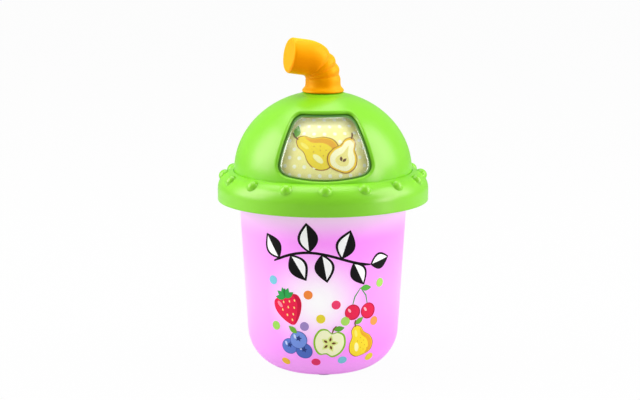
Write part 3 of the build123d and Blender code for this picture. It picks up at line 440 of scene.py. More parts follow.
def clear_polystyrene():
    """Clear polystyrene that mirrors more at a slant. Along its moulded edge a dark green is painted in:
    painted shade and reflection, for the lid's shadow and its green walls.
    """
    material, tree, output = new_finish("clear polystyrene")
    edge = add_node(tree, "ShaderNodeAttribute", attribute_name="edge_share")
    slant = add_node(tree, "ShaderNodeLayerWeight", {"Blend": 0.5})
    steep = add_node(tree, "ShaderNodeMath", {0: slant.outputs["Facing"], 1: 4.0}, operation="POWER")
    mirror = add_node(tree, "ShaderNodeMapRange", {
        "Value": steep.outputs["Value"], "To Min": 0.04, "To Max": 0.32,
    })
    # The bevel round the pane gathers light along its length, so it shines more than the face
    bevel = add_node(tree, "ShaderNodeMapRange", {
        "Value": edge.outputs["Fac"], "From Min": 0.935, "From Max": 0.96, "To Max": 0.22,
    }, interpolation_type="SMOOTHSTEP")
    mirror = add_node(tree, "ShaderNodeMath", {
        0: mirror.outputs["Result"], 1: bevel.outputs["Result"],
    }, operation="ADD", use_clamp=True)
    clear = add_node(tree, "ShaderNodeBsdfTransparent", {"Color": linear("#FBFDFB")})
    gloss = add_node(tree, "ShaderNodeBsdfAnisotropic", {"Color": linear("#FFFFFF"), "Roughness": 0.16})
    pane = add_node(tree, "ShaderNodeMixShader", {
        0: mirror.outputs["Value"], 1: clear.outputs["BSDF"], 2: gloss.outputs["BSDF"],
    })
    # Painted shade and reflection: a dark green is mixed in towards the lens's edge
    shaded = add_node(tree, "ShaderNodeMapRange", {
        "Value": edge.outputs["Fac"], "From Min": 0.92, "From Max": 1.0, "To Max": 0.85,
    }, interpolation_type="SMOOTHSTEP")
    painted_edge_shade = add_node(tree, "ShaderNodeBsdfPrincipled", {
        "Base Color": linear("#4A7A40"), "Roughness": 0.1, "IOR": 1.59,
    })
    whole = add_node(tree, "ShaderNodeMixShader", {
        0: shaded.outputs["Result"], 1: pane.outputs["Shader"], 2: painted_edge_shade.outputs["BSDF"],
    })
    tree.links.new(whole.outputs["Shader"], output.inputs["Surface"])
    return material


def printed(name, roughness, mirror, grain, glow):
    """Ink on its carrier: the colour of each printed shape, with the press's slight mottle, and a painted
    glow: emission in the ink's own colour, though the ink is no lamp.
    """
    material, tree, output = new_finish(name)
    place = add_node(tree, "ShaderNodeTexCoord")
    ink = add_node(tree, "ShaderNodeAttribute", attribute_name="ink")
    mottle = add_node(tree, "ShaderNodeTexNoise", {
        "Vector": place.outputs["Object"], "Scale": 1 / (grain * MM), "Detail": 3.0,
    })
    density = add_node(tree, "ShaderNodeMapRange", {
        "Value": mottle.outputs["Fac"], "From Min": 0.3, "From Max": 0.7,
        "To Min": 0.9, "To Max": 1.0,
    })
    tone = add_node(tree, "ShaderNodeMix", {
        "Factor": 1.0, 6: ink.outputs["Color"], 7: density.outputs["Result"],
    }, data_type="RGBA", blend_type="MULTIPLY")
    shader = add_node(tree, "ShaderNodeBsdfPrincipled", {
        "Base Color": tone.outputs[2], "Roughness": roughness, "Specular IOR Level": mirror,
        "Emission Color": tone.outputs[2], "Emission Strength": glow,
    })
    tree.links.new(shader.outputs["BSDF"], output.inputs["Surface"])
    return material


def shrink_jacket():
    """A cell's shrunk film jacket: glossy charcoal with a copper-coloured band at each end."""
    material, tree, output = new_finish("shrink film cell jacket")
    place = add_node(tree, "ShaderNodeTexCoord")
    along = add_node(tree, "ShaderNodeSeparateXYZ", {0: place.outputs["Object"]})
    far = add_node(tree, "ShaderNodeMath", {0: along.outputs["X"]}, operation="ABSOLUTE")
    band = add_node(tree, "ShaderNodeMath", {
        0: far.outputs["Value"], 1: 15 * MM,
    }, operation="GREATER_THAN")
    tone = add_node(tree, "ShaderNodeMix", {
        "Factor": band.outputs["Value"], 6: linear("#26282D"), 7: linear("#B9703A"),
    }, data_type="RGBA")
    shader = add_node(tree, "ShaderNodeBsdfPrincipled", {
        "Base Color": tone.outputs[2], "Roughness": 0.3, "Metallic": 0.4,
    })
    tree.links.new(shader.outputs["BSDF"], output.inputs["Surface"])
    return material


def solder_mask():
    """Green solder mask over copper: it is glossy, and paler where tracks lie under it, which are
    drawn coarser than real ones so that they show."""
    material, tree, output = new_finish("solder-masked laminate")
    place = add_node(tree, "ShaderNodeTexCoord")
    tracks = add_node(tree, "ShaderNodeTexVoronoi", {
        "Vector": place.outputs["Object"], "Scale": 1 / (3 * MM),
    }, feature="DISTANCE_TO_EDGE")
    line = add_node(tree, "ShaderNodeMath", {
        0: tracks.outputs["Distance"], 1: 0.08,
    }, operation="LESS_THAN")
    tone = add_node(tree, "ShaderNodeMix", {
        "Factor": line.outputs["Value"], 6: linear("#0E4A2A"), 7: linear("#2E7A49"),
    }, data_type="RGBA")
    shader = add_node(tree, "ShaderNodeBsdfPrincipled", {
        "Base Color": tone.outputs[2], "Roughness": 0.35,
    })
    tree.links.new(shader.outputs["BSDF"], output.inputs["Surface"])
    return material


def lit_epoxy():
    """Clear epoxy of a lamp that is on: white at its heart, pink towards its foot."""
    material, tree, output = new_finish("lit clear epoxy")
    place = add_node(tree, "ShaderNodeTexCoord")
    height = add_node(tree, "ShaderNodeSeparateXYZ", {0: place.outputs["Object"]})
    share = add_node(tree, "ShaderNodeMapRange", {
        "Value": height.outputs["Z"], "From Min": 39 * MM, "From Max": 45 * MM,
    })
    tone = add_node(tree, "ShaderNodeMix", {
        "Factor": share.outputs["Result"], 6: linear("#FF9AF6"), 7: linear("#FFFFFF"),
    }, data_type="RGBA")
    shader = add_node(tree, "ShaderNodeBsdfPrincipled", {
        "Base Color": tone.outputs[2], "Roughness": 0.15,
        "Emission Color": tone.outputs[2], "Emission Strength": 1.0,
    })
    tree.links.new(shader.outputs["BSDF"], output.inputs["Surface"])
    return material


finishes = {
    # Pigmented ABS from a polished mould: satin, with broad soft highlights
    "green_abs": moulded(
        "green moulded ABS", "#81D818", 0.32, peel=2.4, peel_height=0.002, drift=0.03,
        mirror=0.70, shine="#FFC8E4",
    ),
    # The straw's mould is duller: its highlights spread and stay yellow, and a deep orange shade is painted
    # on its walls that face down
    "orange_abs": moulded(
        "orange moulded ABS", "#FFA100", 0.46, peel=1.8, peel_height=0.002, drift=0.03,
        mirror=0.9, painted_underside_shade="#FF7A00", shine="#FFE600", rim=1.0,
    ),
    "knob_plastic": moulded("green moulded ABS knob", "#74C81E", 0.42, peel=0.9),
    "white_abs": moulded("white moulded ABS", "#EDEDEA", 0.45),
    # Acetal is waxy, so it is a little softer in its shine than ABS
    "white_acetal": moulded("natural acetal", "#E8E8E2", 0.38, peel=1.2),
    "black_nylon": moulded("black moulded nylon", "#0B0B0C", 0.5, peel=1.0),
    # Unlit milky polypropylene looks lilac beside the lit cup, with a dull shine
    "door_plastic": moulded("lilac moulded polypropylene", "#D9B8E6", 0.42, peel=1.4, drift=0.04),
    # Zinc greys steel and dulls it, nickel yellows it and keeps it bright, lacquer darkens it
    "screw_steel": plated("zinc-plated steel", "#B4B5B8", 0.34, 0.8),
    "nickel_plate": plated("nickel-plated spring steel", "#C9C4B8", 0.22, 1.2),
    "speaker_steel": plated("lacquered pressed steel", "#55565A", 0.45, 1.5),
    "cup_plastic": lit_polypropylene(),
    "clear_lens": clear_polystyrene(),
    # The labels' glow is painted light that brightens the pictures under the dome
    "printed_label": printed("laminated paper print", 0.34, 0.4, 0.5, 0.2),
    "cell_jacket": shrink_jacket(),
    "board_laminate": solder_mask(),
    "lamp_epoxy": lit_epoxy(),
}

# A CAD node that is shown as it stands takes the finish that its slot names
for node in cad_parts.values():
    slot_name = node.data.materials[0].name.split(".")[0]
    for material_slot in node.material_slots:
        material_slot.material = finishes[slot_name]

# ------------------------------------------------------------------ cup and what closes it below
welded("cup_shell", "cup", finishes["cup_plastic"], "cup_body")
welded("battery_door", "door", finishes["door_plastic"], "cup_body")
welded("power_knob", "knob", finishes["knob_plastic"], "power_slider")
welded("lid_base", "lid_floor", finishes["green_abs"], "cup_body")


# ------------------------------------------------------------------ brim with its rivets
RING_R = 48.0
RING_Z = 93.0
BRIM_STEPS = 256
SEAM_R = BRIM_INNER_R + 0.35


def brim_outline():
    """The brim's cross-section, closed, as (radius, height) points from its lower edge up."""
    edge = 0.4
    wall_low = BRIM_LOW + edge
    points = []
    for k in range(7):
        a = -pi / 2 + k * pi / 12
        points.append((BRIM_R - edge + edge * cos(a), wall_low + edge * sin(a)))
    for k in range(1, 9):
        points.append((BRIM_R, wall_low + k / 9 * (BRIM_BEND_Z - wall_low)))
    for k in range(37):
        a = k / 36 * pi / 2
        points.append((BRIM_BEND_R + BRIM_ROUND * cos(a), BRIM_BEND_Z + BRIM_ROUND * sin(a)))
    # The top stops short of the dome and rounds off into the seam
    points = [(r, z) for r, z in points if r > SEAM_R]
    points += [(SEAM_R, BRIM_TOP - 0.02), (BRIM_INNER_R + 0.1, BRIM_TOP - 0.12)]
    points += [(BRIM_INNER_R, BRIM_TOP - 0.38), (BRIM_INNER_R, FLANGE_TOP)]
    points += [(FLANGE_R, FLANGE_TOP), (FLANGE_R, PLATE_TOP)]
    points += [(BRIM_R - BRIM_WALL, PLATE_TOP), (BRIM_R - BRIM_WALL, BRIM_LOW)]
    return points


turn_tree, given = new_tree("turn an outline", {
    "Ring radius": "Float", "Ring height": "Float", "Steps": "Int",
})
rail = add_node(turn_tree, "GeometryNodeCurvePrimitiveCircle", {
    "Resolution": given["Steps"], "Radius": given["Ring radius"],
})
loop = add_node(turn_tree, "GeometryNodeMeshToCurve", {"Mesh": given["Shape"]})
swept = add_node(turn_tree, "GeometryNodeCurveToMesh", {
    "Curve": rail.outputs["Curve"], "Profile Curve": loop.outputs["Curve"],
})
up = add_node(turn_tree, "ShaderNodeCombineXYZ", {"Z": given["Ring height"]})
raised = add_node(turn_tree, "GeometryNodeTransform", {
    "Geometry": swept.outputs["Mesh"], "Translation": up.outputs[0],
})
end_tree(turn_tree, raised.outputs["Geometry"], given)

# The outline lies flat and head down, measured from the middle of the ring's cross-section
flat_outline = [(r - RING_R, RING_Z - z, 0) for r, z in brim_outline()]
outline_edges = [(k, (k + 1) % len(flat_outline)) for k in range(len(flat_outline))]
brim = grown(mesh_thing("brim_outline", flat_outline, [], outline_edges), turn_tree, {
    "Ring radius": RING_R * MM, "Ring height": RING_Z * MM, "Steps": BRIM_STEPS,
    "Finish": finishes["green_abs"],
}, "brim")
finished(outward(brim), finishes["green_abs"], "cup_body", 40, ("lid_rim",))

# The rings crowd where the cap runs out into the shoulder
RIVET_RINGS = (0.4, 0.8, 1.2, 1.6, 2.0, 2.35, 2.6, 2.8, 2.95, 3.05, 3.15, 3.28, 3.45, 3.7)
RIVET_SIDES = 40
RIVET_FILLET = 0.03
RIVET_SINK = 0.02
RIVET_ROOT_R = 3.6
RIVET_ROOT = 0.6


def on_brim(side, up, lift):
    """A point on the brim's shoulder, given along it and up it from a rivet's middle at the front."""
    lean = RIVET_LEAN - up / BRIM_ROUND
    ring = BRIM_BEND_R + (BRIM_ROUND + lift) * sin(lean)
    turn = side / (BRIM_BEND_R + BRIM_ROUND * sin(RIVET_LEAN))
    return ring * sin(turn), -ring * cos(turn), BRIM_BEND_Z + (BRIM_ROUND + lift) * cos(lean)


def rivet_ring(radius, rise):
    """A ring of points round a rivet's middle."""
    turns = [2 * pi * k / RIVET_SIDES for k in range(RIVET_SIDES)]
    return [on_brim(radius * cos(a), radius * sin(a), rise) for a in turns]


def rivet_shape():
    """Points and faces of the front rivet: a ball's cap on a fillet, with a root in the brim."""
    ball = (RIVET_R ** 2 + RIVET_RISE ** 2) / (2 * RIVET_RISE)
    rings = []
    for radius in RIVET_RINGS:
        cap = sqrt(max(ball ** 2 - radius ** 2, 0.0)) - (ball - RIVET_RISE)
        fillet = (cap + sqrt(cap * cap + RIVET_FILLET)) / 2
        rings.append(rivet_ring(radius, fillet - RIVET_SINK * (radius / RIVET_RINGS[-1]) ** 8))
    rings.append(rivet_ring(RIVET_ROOT_R, -RIVET_ROOT))
    return capped(rings, on_brim(0, 0, RIVET_RISE), on_brim(0, 0, -RIVET_ROOT))


ring_tree, given = new_tree("repeat round the axis", {"Copies": "Int"})
spots = add_node(ring_tree, "GeometryNodePoints", {"Count": given["Copies"]})
order = add_node(ring_tree, "GeometryNodeInputIndex")
step = add_node(ring_tree, "ShaderNodeMath", {0: 2 * pi, 1: given["Copies"]}, operation="DIVIDE")
turn = add_node(ring_tree, "ShaderNodeMath", {
    0: order.outputs[0], 1: step.outputs[0],
}, operation="MULTIPLY")
about = add_node(ring_tree, "ShaderNodeCombineXYZ", {"Z": turn.outputs[0]})
copies = add_node(ring_tree, "GeometryNodeInstanceOnPoints", {
    "Points": spots.outputs[0], "Instance": given["Shape"], "Rotation": about.outputs[0],
})
end_tree(ring_tree, copies.outputs[0], given)

rivets = grown(outward(mesh_thing("rivet", *rivet_shape())), ring_tree, {
    "Copies": RIVETS, "Finish": finishes["green_abs"],
}, "rivets")
finished(rivets, finishes["green_abs"], "cup_body", 60, ())

# ------------------------------------------------------------------ window outline
# Seen from the front, with heights above the dome's widest point. The sides bow out a little.
WINDOW_SILL = (0, 1.3)
WINDOW_FOOT = (23.2, 4.1)
WINDOW_SIDE = (19.8, 17.6)
WINDOW_HEAD = (13.8, 30.8)
FOOT_ROUND = 5.0
HEAD_ROUND = 4.2
OUTLINE_COUNT = 192


def arc_through(first, middle, last, steps):
    """Points on the circle through three points, from the first to the last."""
    (ax, ay), (bx, by), (cx, cy) = first, middle, last
    d = 2 * (ax * (by - cy) + bx * (cy - ay) + cx * (ay - by))
    a2, b2, c2 = ax * ax + ay * ay, bx * bx + by * by, cx * cx + cy * cy
    ux = (a2 * (by - cy) + b2 * (cy - ay) + c2 * (ay - by)) / d
    uy = (a2 * (cx - bx) + b2 * (ax - cx) + c2 * (bx - ax)) / d
    start, end = Vector((ax - ux, ay - uy)), Vector((cx - ux, cy - uy))
    sweep = start.angle_signed(end)
    points = []
    for k in range(steps + 1):
        c, s = cos(sweep * k / steps), sin(sweep * k / steps)
        points.append((ux + start.x * c + start.y * s, uy - start.x * s + start.y * c))
    return points


def trimmed(line, corner, radius):
    """Cuts a closed line's corner and joins the two ends with a bend of about that radius."""
    reach = radius * 0.95
    fullness = 0.92
    steps = 10
    kept = [p for p in line if hypot(p[0] - corner[0], p[1] - corner[1]) > reach]
    gaps = [hypot(b[0] - a[0], b[1] - a[1]) for a, b in zip(kept[-1:] + kept, kept)]
    cut = gaps.index(max(gaps))
    start, middle, end = Vector(kept[cut - 1]), Vector(corner), Vector(kept[cut])
    bend = []
    for k in range(1, steps):
        t = k / steps
        weights = (1 - t) ** 2, 2 * (1 - t) * t * fullness, t ** 2
        total = sum(weights)
        bend.append(tuple((start * weights[0] + middle * weights[1] + end * weights[2]) / total))
    return kept[:cut] + bend + kept[cut:]


def even(points, count):
    """The same closed line through evenly spaced points, from its first point."""
    closed = points + [points[0]]
    lengths = [0.0]
    for (ax, ay), (bx, by) in zip(closed, closed[1:]):
        lengths.append(lengths[-1] + hypot(bx - ax, by - ay))
    spread, at = [], 0
    for k in range(count):
        goal = lengths[-1] * k / count
        while lengths[at + 1] < goal:
            at += 1
        share = (goal - lengths[at]) / max(lengths[at + 1] - lengths[at], 1e-9)
        spread.append(tuple(a + (b - a) * share for a, b in zip(closed[at], closed[at + 1])))
    return spread


def rounded_corners(points, passes):
    """Softens a closed line by moving each point towards its neighbours' middle."""
    for _ in range(passes):
        points = [
            ((a[0] + 2 * b[0] + c[0]) / 4, (a[1] + 2 * b[1] + c[1]) / 4)
            for a, b, c in zip(points[-1:] + points[:-1], points, points[1:] + points[:1])
        ]
    return points


def window_outline():
    """The window's closed outline, anticlockwise from the middle of its sill."""
    foot_left = (-WINDOW_FOOT[0], WINDOW_FOOT[1])
    head_left = (-WINDOW_HEAD[0], WINDOW_HEAD[1])
    bottom = arc_through(foot_left, WINDOW_SILL, WINDOW_FOOT, 60)
    right = arc_through(WINDOW_FOOT, WINDOW_SIDE, WINDOW_HEAD, 40)
    top = [(WINDOW_HEAD[0] - 2 * WINDOW_HEAD[0] * k / 40, WINDOW_HEAD[1]) for k in range(41)]
    left = [(-x, y) for x, y in reversed(right)]
    line = bottom[:-1] + right[:-1] + top[:-1] + left[:-1]
    for corner in (WINDOW_FOOT, WINDOW_HEAD, head_left, foot_left):
        line = trimmed(line, corner, HEAD_ROUND if corner[1] == WINDOW_HEAD[1] else FOOT_ROUND)
    from_sill = [hypot(x - WINDOW_SILL[0], y - WINDOW_SILL[1]) for x, y in line]
    start = from_sill.index(min(from_sill))
    return rounded_corners(even(line[start:] + line[:start], OUTLINE_COUNT), 3)


def inward_of(points):
    """Unit directions towards the inside of a closed line that runs anticlockwise."""
    found = []
    for before, after in zip(points[-1:] + points[:-1], points[1:] + points[:1]):
        run = Vector((after[0] - before[0], after[1] - before[1])).normalized()
        found.append((-run.y, run.x))
    return found


window = window_outline()
window_in = inward_of(window)


def window_line(out):
    """The window's outline moved outwards."""
    return [(x - dx * out, y - dy * out) for (x, y), (dx, dy) in zip(window, window_in)]


def on_front(x, height, inset):
    """The point of the dome's inset skin that the front view shows there."""
    share = min(max(height / (DOME_RISE - inset), 0.0), 1.0)
    r = (DOME_R - inset) * sqrt(max(1 - share * share, 0.0))
    return Vector((x, -sqrt(max(r * r - x * x, 0.0)), DOME_Z + height))


def skin_normal(point, inset):
    """The outward direction of the dome's inset skin at a point."""
    rise = max(point.z - DOME_Z, 0.0)
    wide, tall = (DOME_R - inset) ** 2, (DOME_RISE - inset) ** 2
    return Vector((point.x / wide, point.y / wide, rise / tall)).normalized()


# ------------------------------------------------------------------ dome
# The skin is a grid of columns round the axis and of levels, in degrees up the ellipse, or below
# it down the skirt. A patch of it round the window is left out and woven to the window's lip.
TURNS = 192
LAND_LEVEL = 90 - degrees(asin(LAND_FOOT_R / DOME_R))
LEVELS = [-17.5, -12, -6, -3] + [k * 1.5 for k in range(48)]
LEVELS = [level for level in LEVELS if level < LAND_LEVEL - 1] + [LAND_LEVEL]
PATCH_SIDE = 23
PATCH_LOW = 1
PATCH_HIGH = LEVELS.index(60.0)
WEAVE_RINGS = 12
WEAVE_CROWDING = 1.25
WINDOW_LIP = 1.2
LIP_STEPS = 10
LAND_FALL = ((12.1, 1.16), (11.2, 0.7), (10.5, 0.37), (10.0, 0.15), (9.6, 0.05))


def turn_point(turn, level, inset):
    """A point of the inset skin by its turn from the front and its level."""
    a = radians(level)
    if level >= 0:
        r, z = (DOME_R - inset) * cos(a), DOME_Z + (DOME_RISE - inset) * sin(a)
    else:
        r, z = DOME_R - inset, DOME_Z + DOME_RISE * a
    return Vector((r * sin(turn), -r * cos(turn), z))


def flat_of(point, inset):
    """Turn and level of a point on the inset skin, in radians."""
    turn = asin(max(-1.0, min(1.0, point.x / max(hypot(point.x, point.y), 1e-9))))
    rise = (point.z - DOME_Z) / (DOME_RISE - inset)
    return turn, asin(min(1.0, rise)) if rise > 0 else rise


def shares_round(line):
    """How far round a closed line each of its points is, and 1 at its end."""
    closed = line + [line[0]]
    sums = [0.0]
    for a, b in zip(closed, closed[1:]):
        sums.append(sums[-1] + hypot(b[0] - a[0], b[1] - a[1]))
    return [length / sums[-1] for length in sums]


def stitched(inner, inner_flat, outer, outer_flat):
    """Triangles between two closed loops with different counts of points."""
    faces = []
    inner_way, outer_way = shares_round(inner_flat), shares_round(outer_flat)
    i = j = 0
    while i < len(inner) or j < len(outer):
        inner_next = inner_way[min(i + 1, len(inner))]
        outer_next = outer_way[min(j + 1, len(outer))]
        here = inner[i % len(inner)], outer[j % len(outer)]
        if j >= len(outer) or (i < len(inner) and inner_next <= outer_next):
            i += 1
            faces.append((*here, inner[i % len(inner)]))
        else:
            j += 1
            faces.append((*here, outer[j % len(outer)]))
    return faces


def woven_skin(inset, loop_points):
    """One skin of the dome, whose opening ends at a loop. Gives its points and faces, the loop's
    first index and the index of each grid point."""
    points, faces, index = [], [], {}

    def grid(column, row):
        key = (column % TURNS, row)
        if key not in index:
            index[key] = len(points)
            points.append(turn_point(2 * pi * column / TURNS, LEVELS[row], inset))
        return index[key]

    for column in range(-TURNS // 2, TURNS // 2):
        for row in range(len(LEVELS) - 1):
            if not (-PATCH_SIDE <= column < PATCH_SIDE and PATCH_LOW <= row < PATCH_HIGH):
                low = grid(column, row), grid(column + 1, row)
                faces.append((*low, grid(column + 1, row + 1), grid(column, row + 1)))
    patch = [(c, PATCH_LOW) for c in range(PATCH_SIDE)]
    patch += [(PATCH_SIDE, r) for r in range(PATCH_LOW, PATCH_HIGH)]
    patch += [(c, PATCH_HIGH) for c in range(PATCH_SIDE, -PATCH_SIDE, -1)]
    patch += [(-PATCH_SIDE, r) for r in range(PATCH_HIGH, PATCH_LOW, -1)]
    patch += [(c, PATCH_LOW) for c in range(-PATCH_SIDE, 0)]
    outer = [grid(c, r) for c, r in patch]
    outer_flat = [(2 * pi * c / TURNS, radians(LEVELS[r])) for c, r in patch]

    loop_start, count = len(points), len(loop_points)
    points.extend(loop_points)
    loop_flat = [flat_of(point, inset) for point in loop_points]
    # Each point of the loop aims at the place on the patch's edge that is as far round
    aims = even(outer_flat, count)
    previous = loop_start
    for ring in range(1, WEAVE_RINGS):
        share = (ring / WEAVE_RINGS) ** WEAVE_CROWDING
        fresh = len(points)
        for (turn, level), (aim_turn, aim_level) in zip(loop_flat, aims):
            there = degrees(level + (aim_level - level) * share)
            points.append(turn_point(turn + (aim_turn - turn) * share, there, inset))
        faces += [
            (previous + k, fresh + k, fresh + (k + 1) % count, previous + (k + 1) % count)
            for k in range(count)
        ]
        previous = fresh
    last = range(previous, previous + count)
    faces += stitched(last, [flat_of(points[i], inset) for i in last], outer, outer_flat)
    return points, faces, loop_start, index


def lip_rings():
    """Rings of points over the window's rounded lip, from the skin into the hole."""
    balls = [on_front(x, h, WINDOW_LIP) for x, h in window_line(WINDOW_LIP)]
    rings = [[] for _ in range(LIP_STEPS + 1)]
    for middle, (dx, dy) in zip(balls, window_in):
        out_of_skin = skin_normal(middle, WINDOW_LIP)
        into_hole = Vector((dx, 0.0, dy))
        span = out_of_skin.angle(into_hole)
        across = (into_hole - out_of_skin * out_of_skin.dot(into_hole)).normalized()
        for step, ring in enumerate(rings):
            a = span * step / LIP_STEPS
            ring.append(middle + (out_of_skin * cos(a) + across * sin(a)) * WINDOW_LIP)
    return rings


def dome_shape():
    """Points and faces of the dome: two skins joined at the window, the bearing and the foot."""
    lip = lip_rings()
    back_loop = [on_front(x, h, DOME_WALL) for x, h in window]
    points, faces, previous, outer_index = woven_skin(0.0, lip[0])
    for ring in lip[1:] + [back_loop]:
        fresh = len(points)
        points.extend(ring)
        faces += [tuple(reversed(face)) for face in loop_faces(previous, fresh, OUTLINE_COUNT)]
        previous = fresh
    inner_points, inner_faces, _, inner_index = woven_skin(DOME_WALL, back_loop)
    shift = len(points)
    points += inner_points
    faces += [tuple(reversed([i + shift for i in face])) for face in inner_faces]

    # The land is let in for the straw's skirt and turns down into the spindle's bearing
    land = [(radius, LAND_Z - fall) for radius, fall in LAND_FALL] + [(JOURNAL_R, LAND_Z)]
    bearing = [(JOURNAL_R, BEARING_LOW), (BEARING_R, BEARING_LOW), (BEARING_R, BEARING_HIGH)]
    top_row = len(LEVELS) - 1
    chain = [[outer_index[(c, top_row)] for c in range(TURNS)]]
    for radius, height in land + bearing:
        chain.append(list(range(len(points), len(points) + TURNS)))
        points.extend(around(radius, TURNS, height))
    chain.append([shift + inner_index[(c, top_row)] for c in range(TURNS)])
    foot_inner = [shift + inner_index[(c, 0)] for c in range(TURNS)]
    foot_outer = [outer_index[(c, 0)] for c in range(TURNS)]
    for here, there in [*zip(chain, chain[1:]), (foot_inner, foot_outer)]:
        for c in range(TURNS):
            beside = (c + 1) % TURNS
            faces.append((here[c], here[beside], there[beside], there[c]))
    return points, faces


dome = outward(mesh_thing("lid_dome", *dome_shape()))
finished(dome, finishes["green_abs"], "cup_body", 50, ("dome",))

# ------------------------------------------------------------------ window lens
LENS_MIDDLE = (0.0, 15.5)
LENS_GAP = 0.1
EDGE_WIDE = 0.25
BEVEL = 0.6
BEVEL_FROM = 0.94
BEVEL_FULL = 0.85
LENS_SHARES = [k / 20 for k in range(1, 18)] + [0.88, 0.905, 0.925, 0.94, 0.955, 0.97, 0.985, 1.0]


def shrunk(line, share):
    """The line drawn towards the lens's middle, to a share of its size."""
    middle_x, middle_h = LENS_MIDDLE
    return [(middle_x + (x - middle_x) * share, middle_h + (h - middle_h) * share) for x, h in line]


def lens_chain():
    """The lens's rings, each a line, its depth below the dome's skin and its share of the way to
    the edge: out over the face and its bevel, round the flange and back in behind."""
    face, pane = window_line(-LENS_GAP - EDGE_WIDE), window_line(-LENS_GAP)
    flange = window_line(LENS_REACH)
    seat = DOME_WALL + 0.1
    chain = []
    for share in LENS_SHARES:
        fall = BEVEL * smooth_step((share - BEVEL_FROM) / (1 - BEVEL_FROM)) * BEVEL_FULL
        chain.append((shrunk(face, share), LENS_DROP + fall, share))
    # The bevel's foot turns down over a small round
    chain += [(window_line(-0.17), LENS_DROP + BEVEL, 1.0), (pane, LENS_DROP + BEVEL + 0.2, 1.0)]
    chain += [(pane, seat, 1.0), (flange, seat, 1.0), (flange, LENS_BACK, 1.0)]
    chain += [(shrunk(flange, share), LENS_BACK, 0.0) for share in reversed(LENS_SHARES[:-1])]
    return chain


chain = lens_chain()
rings = [[on_front(x, h, inset) for x, h in line] for line, inset, _ in chain]
poles = [on_front(*LENS_MIDDLE, inset) for inset in (LENS_DROP, LENS_BACK)]
lens = outward(mesh_thing("lens", *capped(rings, *poles)))
finished(lens, finishes["clear_lens"], "cup_body", 50, ("window_lens",))
shares = [share for line, _, share in chain for _ in line]
edge_share = lens.data.attributes.new("edge_share", "FLOAT", "POINT")
edge_share.data.foreach_set("value", [0.0] + shares + [0.0])

# ------------------------------------------------------------------ straw
STRAW_WAY = radians(-90 - 360 / PICTURES)
AHEAD = Vector((cos(STRAW_WAY), sin(STRAW_WAY), 0))
ASIDE = Vector((-AHEAD.y, AHEAD.x, 0))
BEND_MIDDLE = Vector((0, 0, STRAW_BEND_Z)) + AHEAD * STRAW_BEND_R
BEND_INNER = STRAW_BEND_R - STRAW_BASE_R
STRAW_SIDES = 72
SKIRT = (
    (9.6, 0.0), (9.95, 0.04), (10.2, 0.16), (10.36, 0.36), (SKIRT_R, 0.62), (10.32, 0.95),
    (10.1, 1.3), (9.75, 1.7), (9.36, 2.1), (9.02, 2.55), (8.82, 3.1), (8.73, 3.8), (STRAW_BASE_R, 4.7),
)


def bend_ring(turn, outer, fold=0.0, forward=0.0, trim=0.0):
    """A ring across the straw at a turn of its bend, out to a distance from the bend's middle."""
    a = radians(turn)
    arm = Vector((0, 0, sin(a))) - AHEAD * cos(a)
    along = Vector((0, 0, cos(a))) + AHEAD * sin(a)
    middle = BEND_MIDDLE + arm * (outer + BEND_INNER) / 2 + along * forward
    ring = []
    for k in range(STRAW_SIDES):
        a = 2 * pi * k / STRAW_SIDES
        # A fold is deepest on the outside of the bend and fades to a share of that on its inside
        outside = ((1 + cos(a)) / 2) ** FOLD_FADE
        depth = fold * (FOLD_INSIDE + (1 - FOLD_INSIDE) * outside)
        radius = (outer - BEND_INNER) / 2 - trim - depth
        ring.append(middle + arm * radius * cos(a) + ASIDE * radius * sin(a))
    return ring


def level_ring(radius, height):
    """A level ring about the cup's axis, in step with the rings of the bend."""
    turns = [2 * pi * k / STRAW_SIDES for k in range(STRAW_SIDES)]
    middle = Vector((0, 0, height))
    return [middle - AHEAD * radius * cos(a) + ASIDE * radius * sin(a) for a in turns]


def fold_ring(turn):
    """The ring at a turn of the bellows, which widen to the mouth's size past their last fold."""
    last_fold = FOLD_FIRST + (FOLDS - 1) * FOLD_TURN
    wide = STRAW_BASE_R + (STRAW_R - STRAW_BASE_R) * smooth_step((turn - last_fold) / FOLD_TURN)
    crest = 0.0
    for k in range(FOLDS):
        away = abs(turn - FOLD_FIRST - k * FOLD_TURN) / (FOLD_TURN / 2)
        crest = max(crest, (1 - min(away, 1.0)) ** FOLD_SHARPNESS)
    return bend_ring(turn, STRAW_BEND_R + wide, FOLD_DEPTH * crest)


def straw_rings():
    """The straw's rings, from the top of its socket down, out and up the skirt and to its end."""
    socket = [(SOCKET_R, SOCKET_TOP), (SOCKET_R, HOLLOW_TOP), (HOLLOW_R, HOLLOW_TOP), (HOLLOW_R, STRAW_LOW)]
    skirt = [(radius, STRAW_LOW + rise) for radius, rise in SKIRT] + [(STRAW_BASE_R, STRAW_BEND_Z)]
    rings = [level_ring(radius, height) for radius, height in socket + skirt]
    rings += [fold_ring(turn) for turn in range(1, int(STRAW_TURN) + 1)]
    # Plain rings along the mouth and over its flat end keep the faces there even
    full = STRAW_BEND_R + STRAW_R
    round_from = STRAW_MOUTH - MOUTH_ROUND
    rings += [bend_ring(STRAW_TURN, full, 0.0, forward) for forward in (2.0, 4.0, 6.0, round_from)]
    for k in range(1, 9):
        a = k / 8 * pi / 2
        forward = round_from + MOUTH_ROUND * sin(a)
        rings.append(bend_ring(STRAW_TURN, full, 0.0, forward, MOUTH_ROUND * (1 - cos(a))))
    for inwards in (1.2, 3.5, 6.0):
        rings.append(bend_ring(STRAW_TURN, full, 0.0, STRAW_MOUTH, MOUTH_ROUND + inwards))
    return rings


rings = straw_rings()
poles = [sum(ring, Vector()) / STRAW_SIDES for ring in (rings[0], rings[-1])]
straw = outward(mesh_thing("bendy_straw", *capped(rings, *poles)))
finished(straw, finishes["orange_abs"], "spinner", 50, ("straw",))


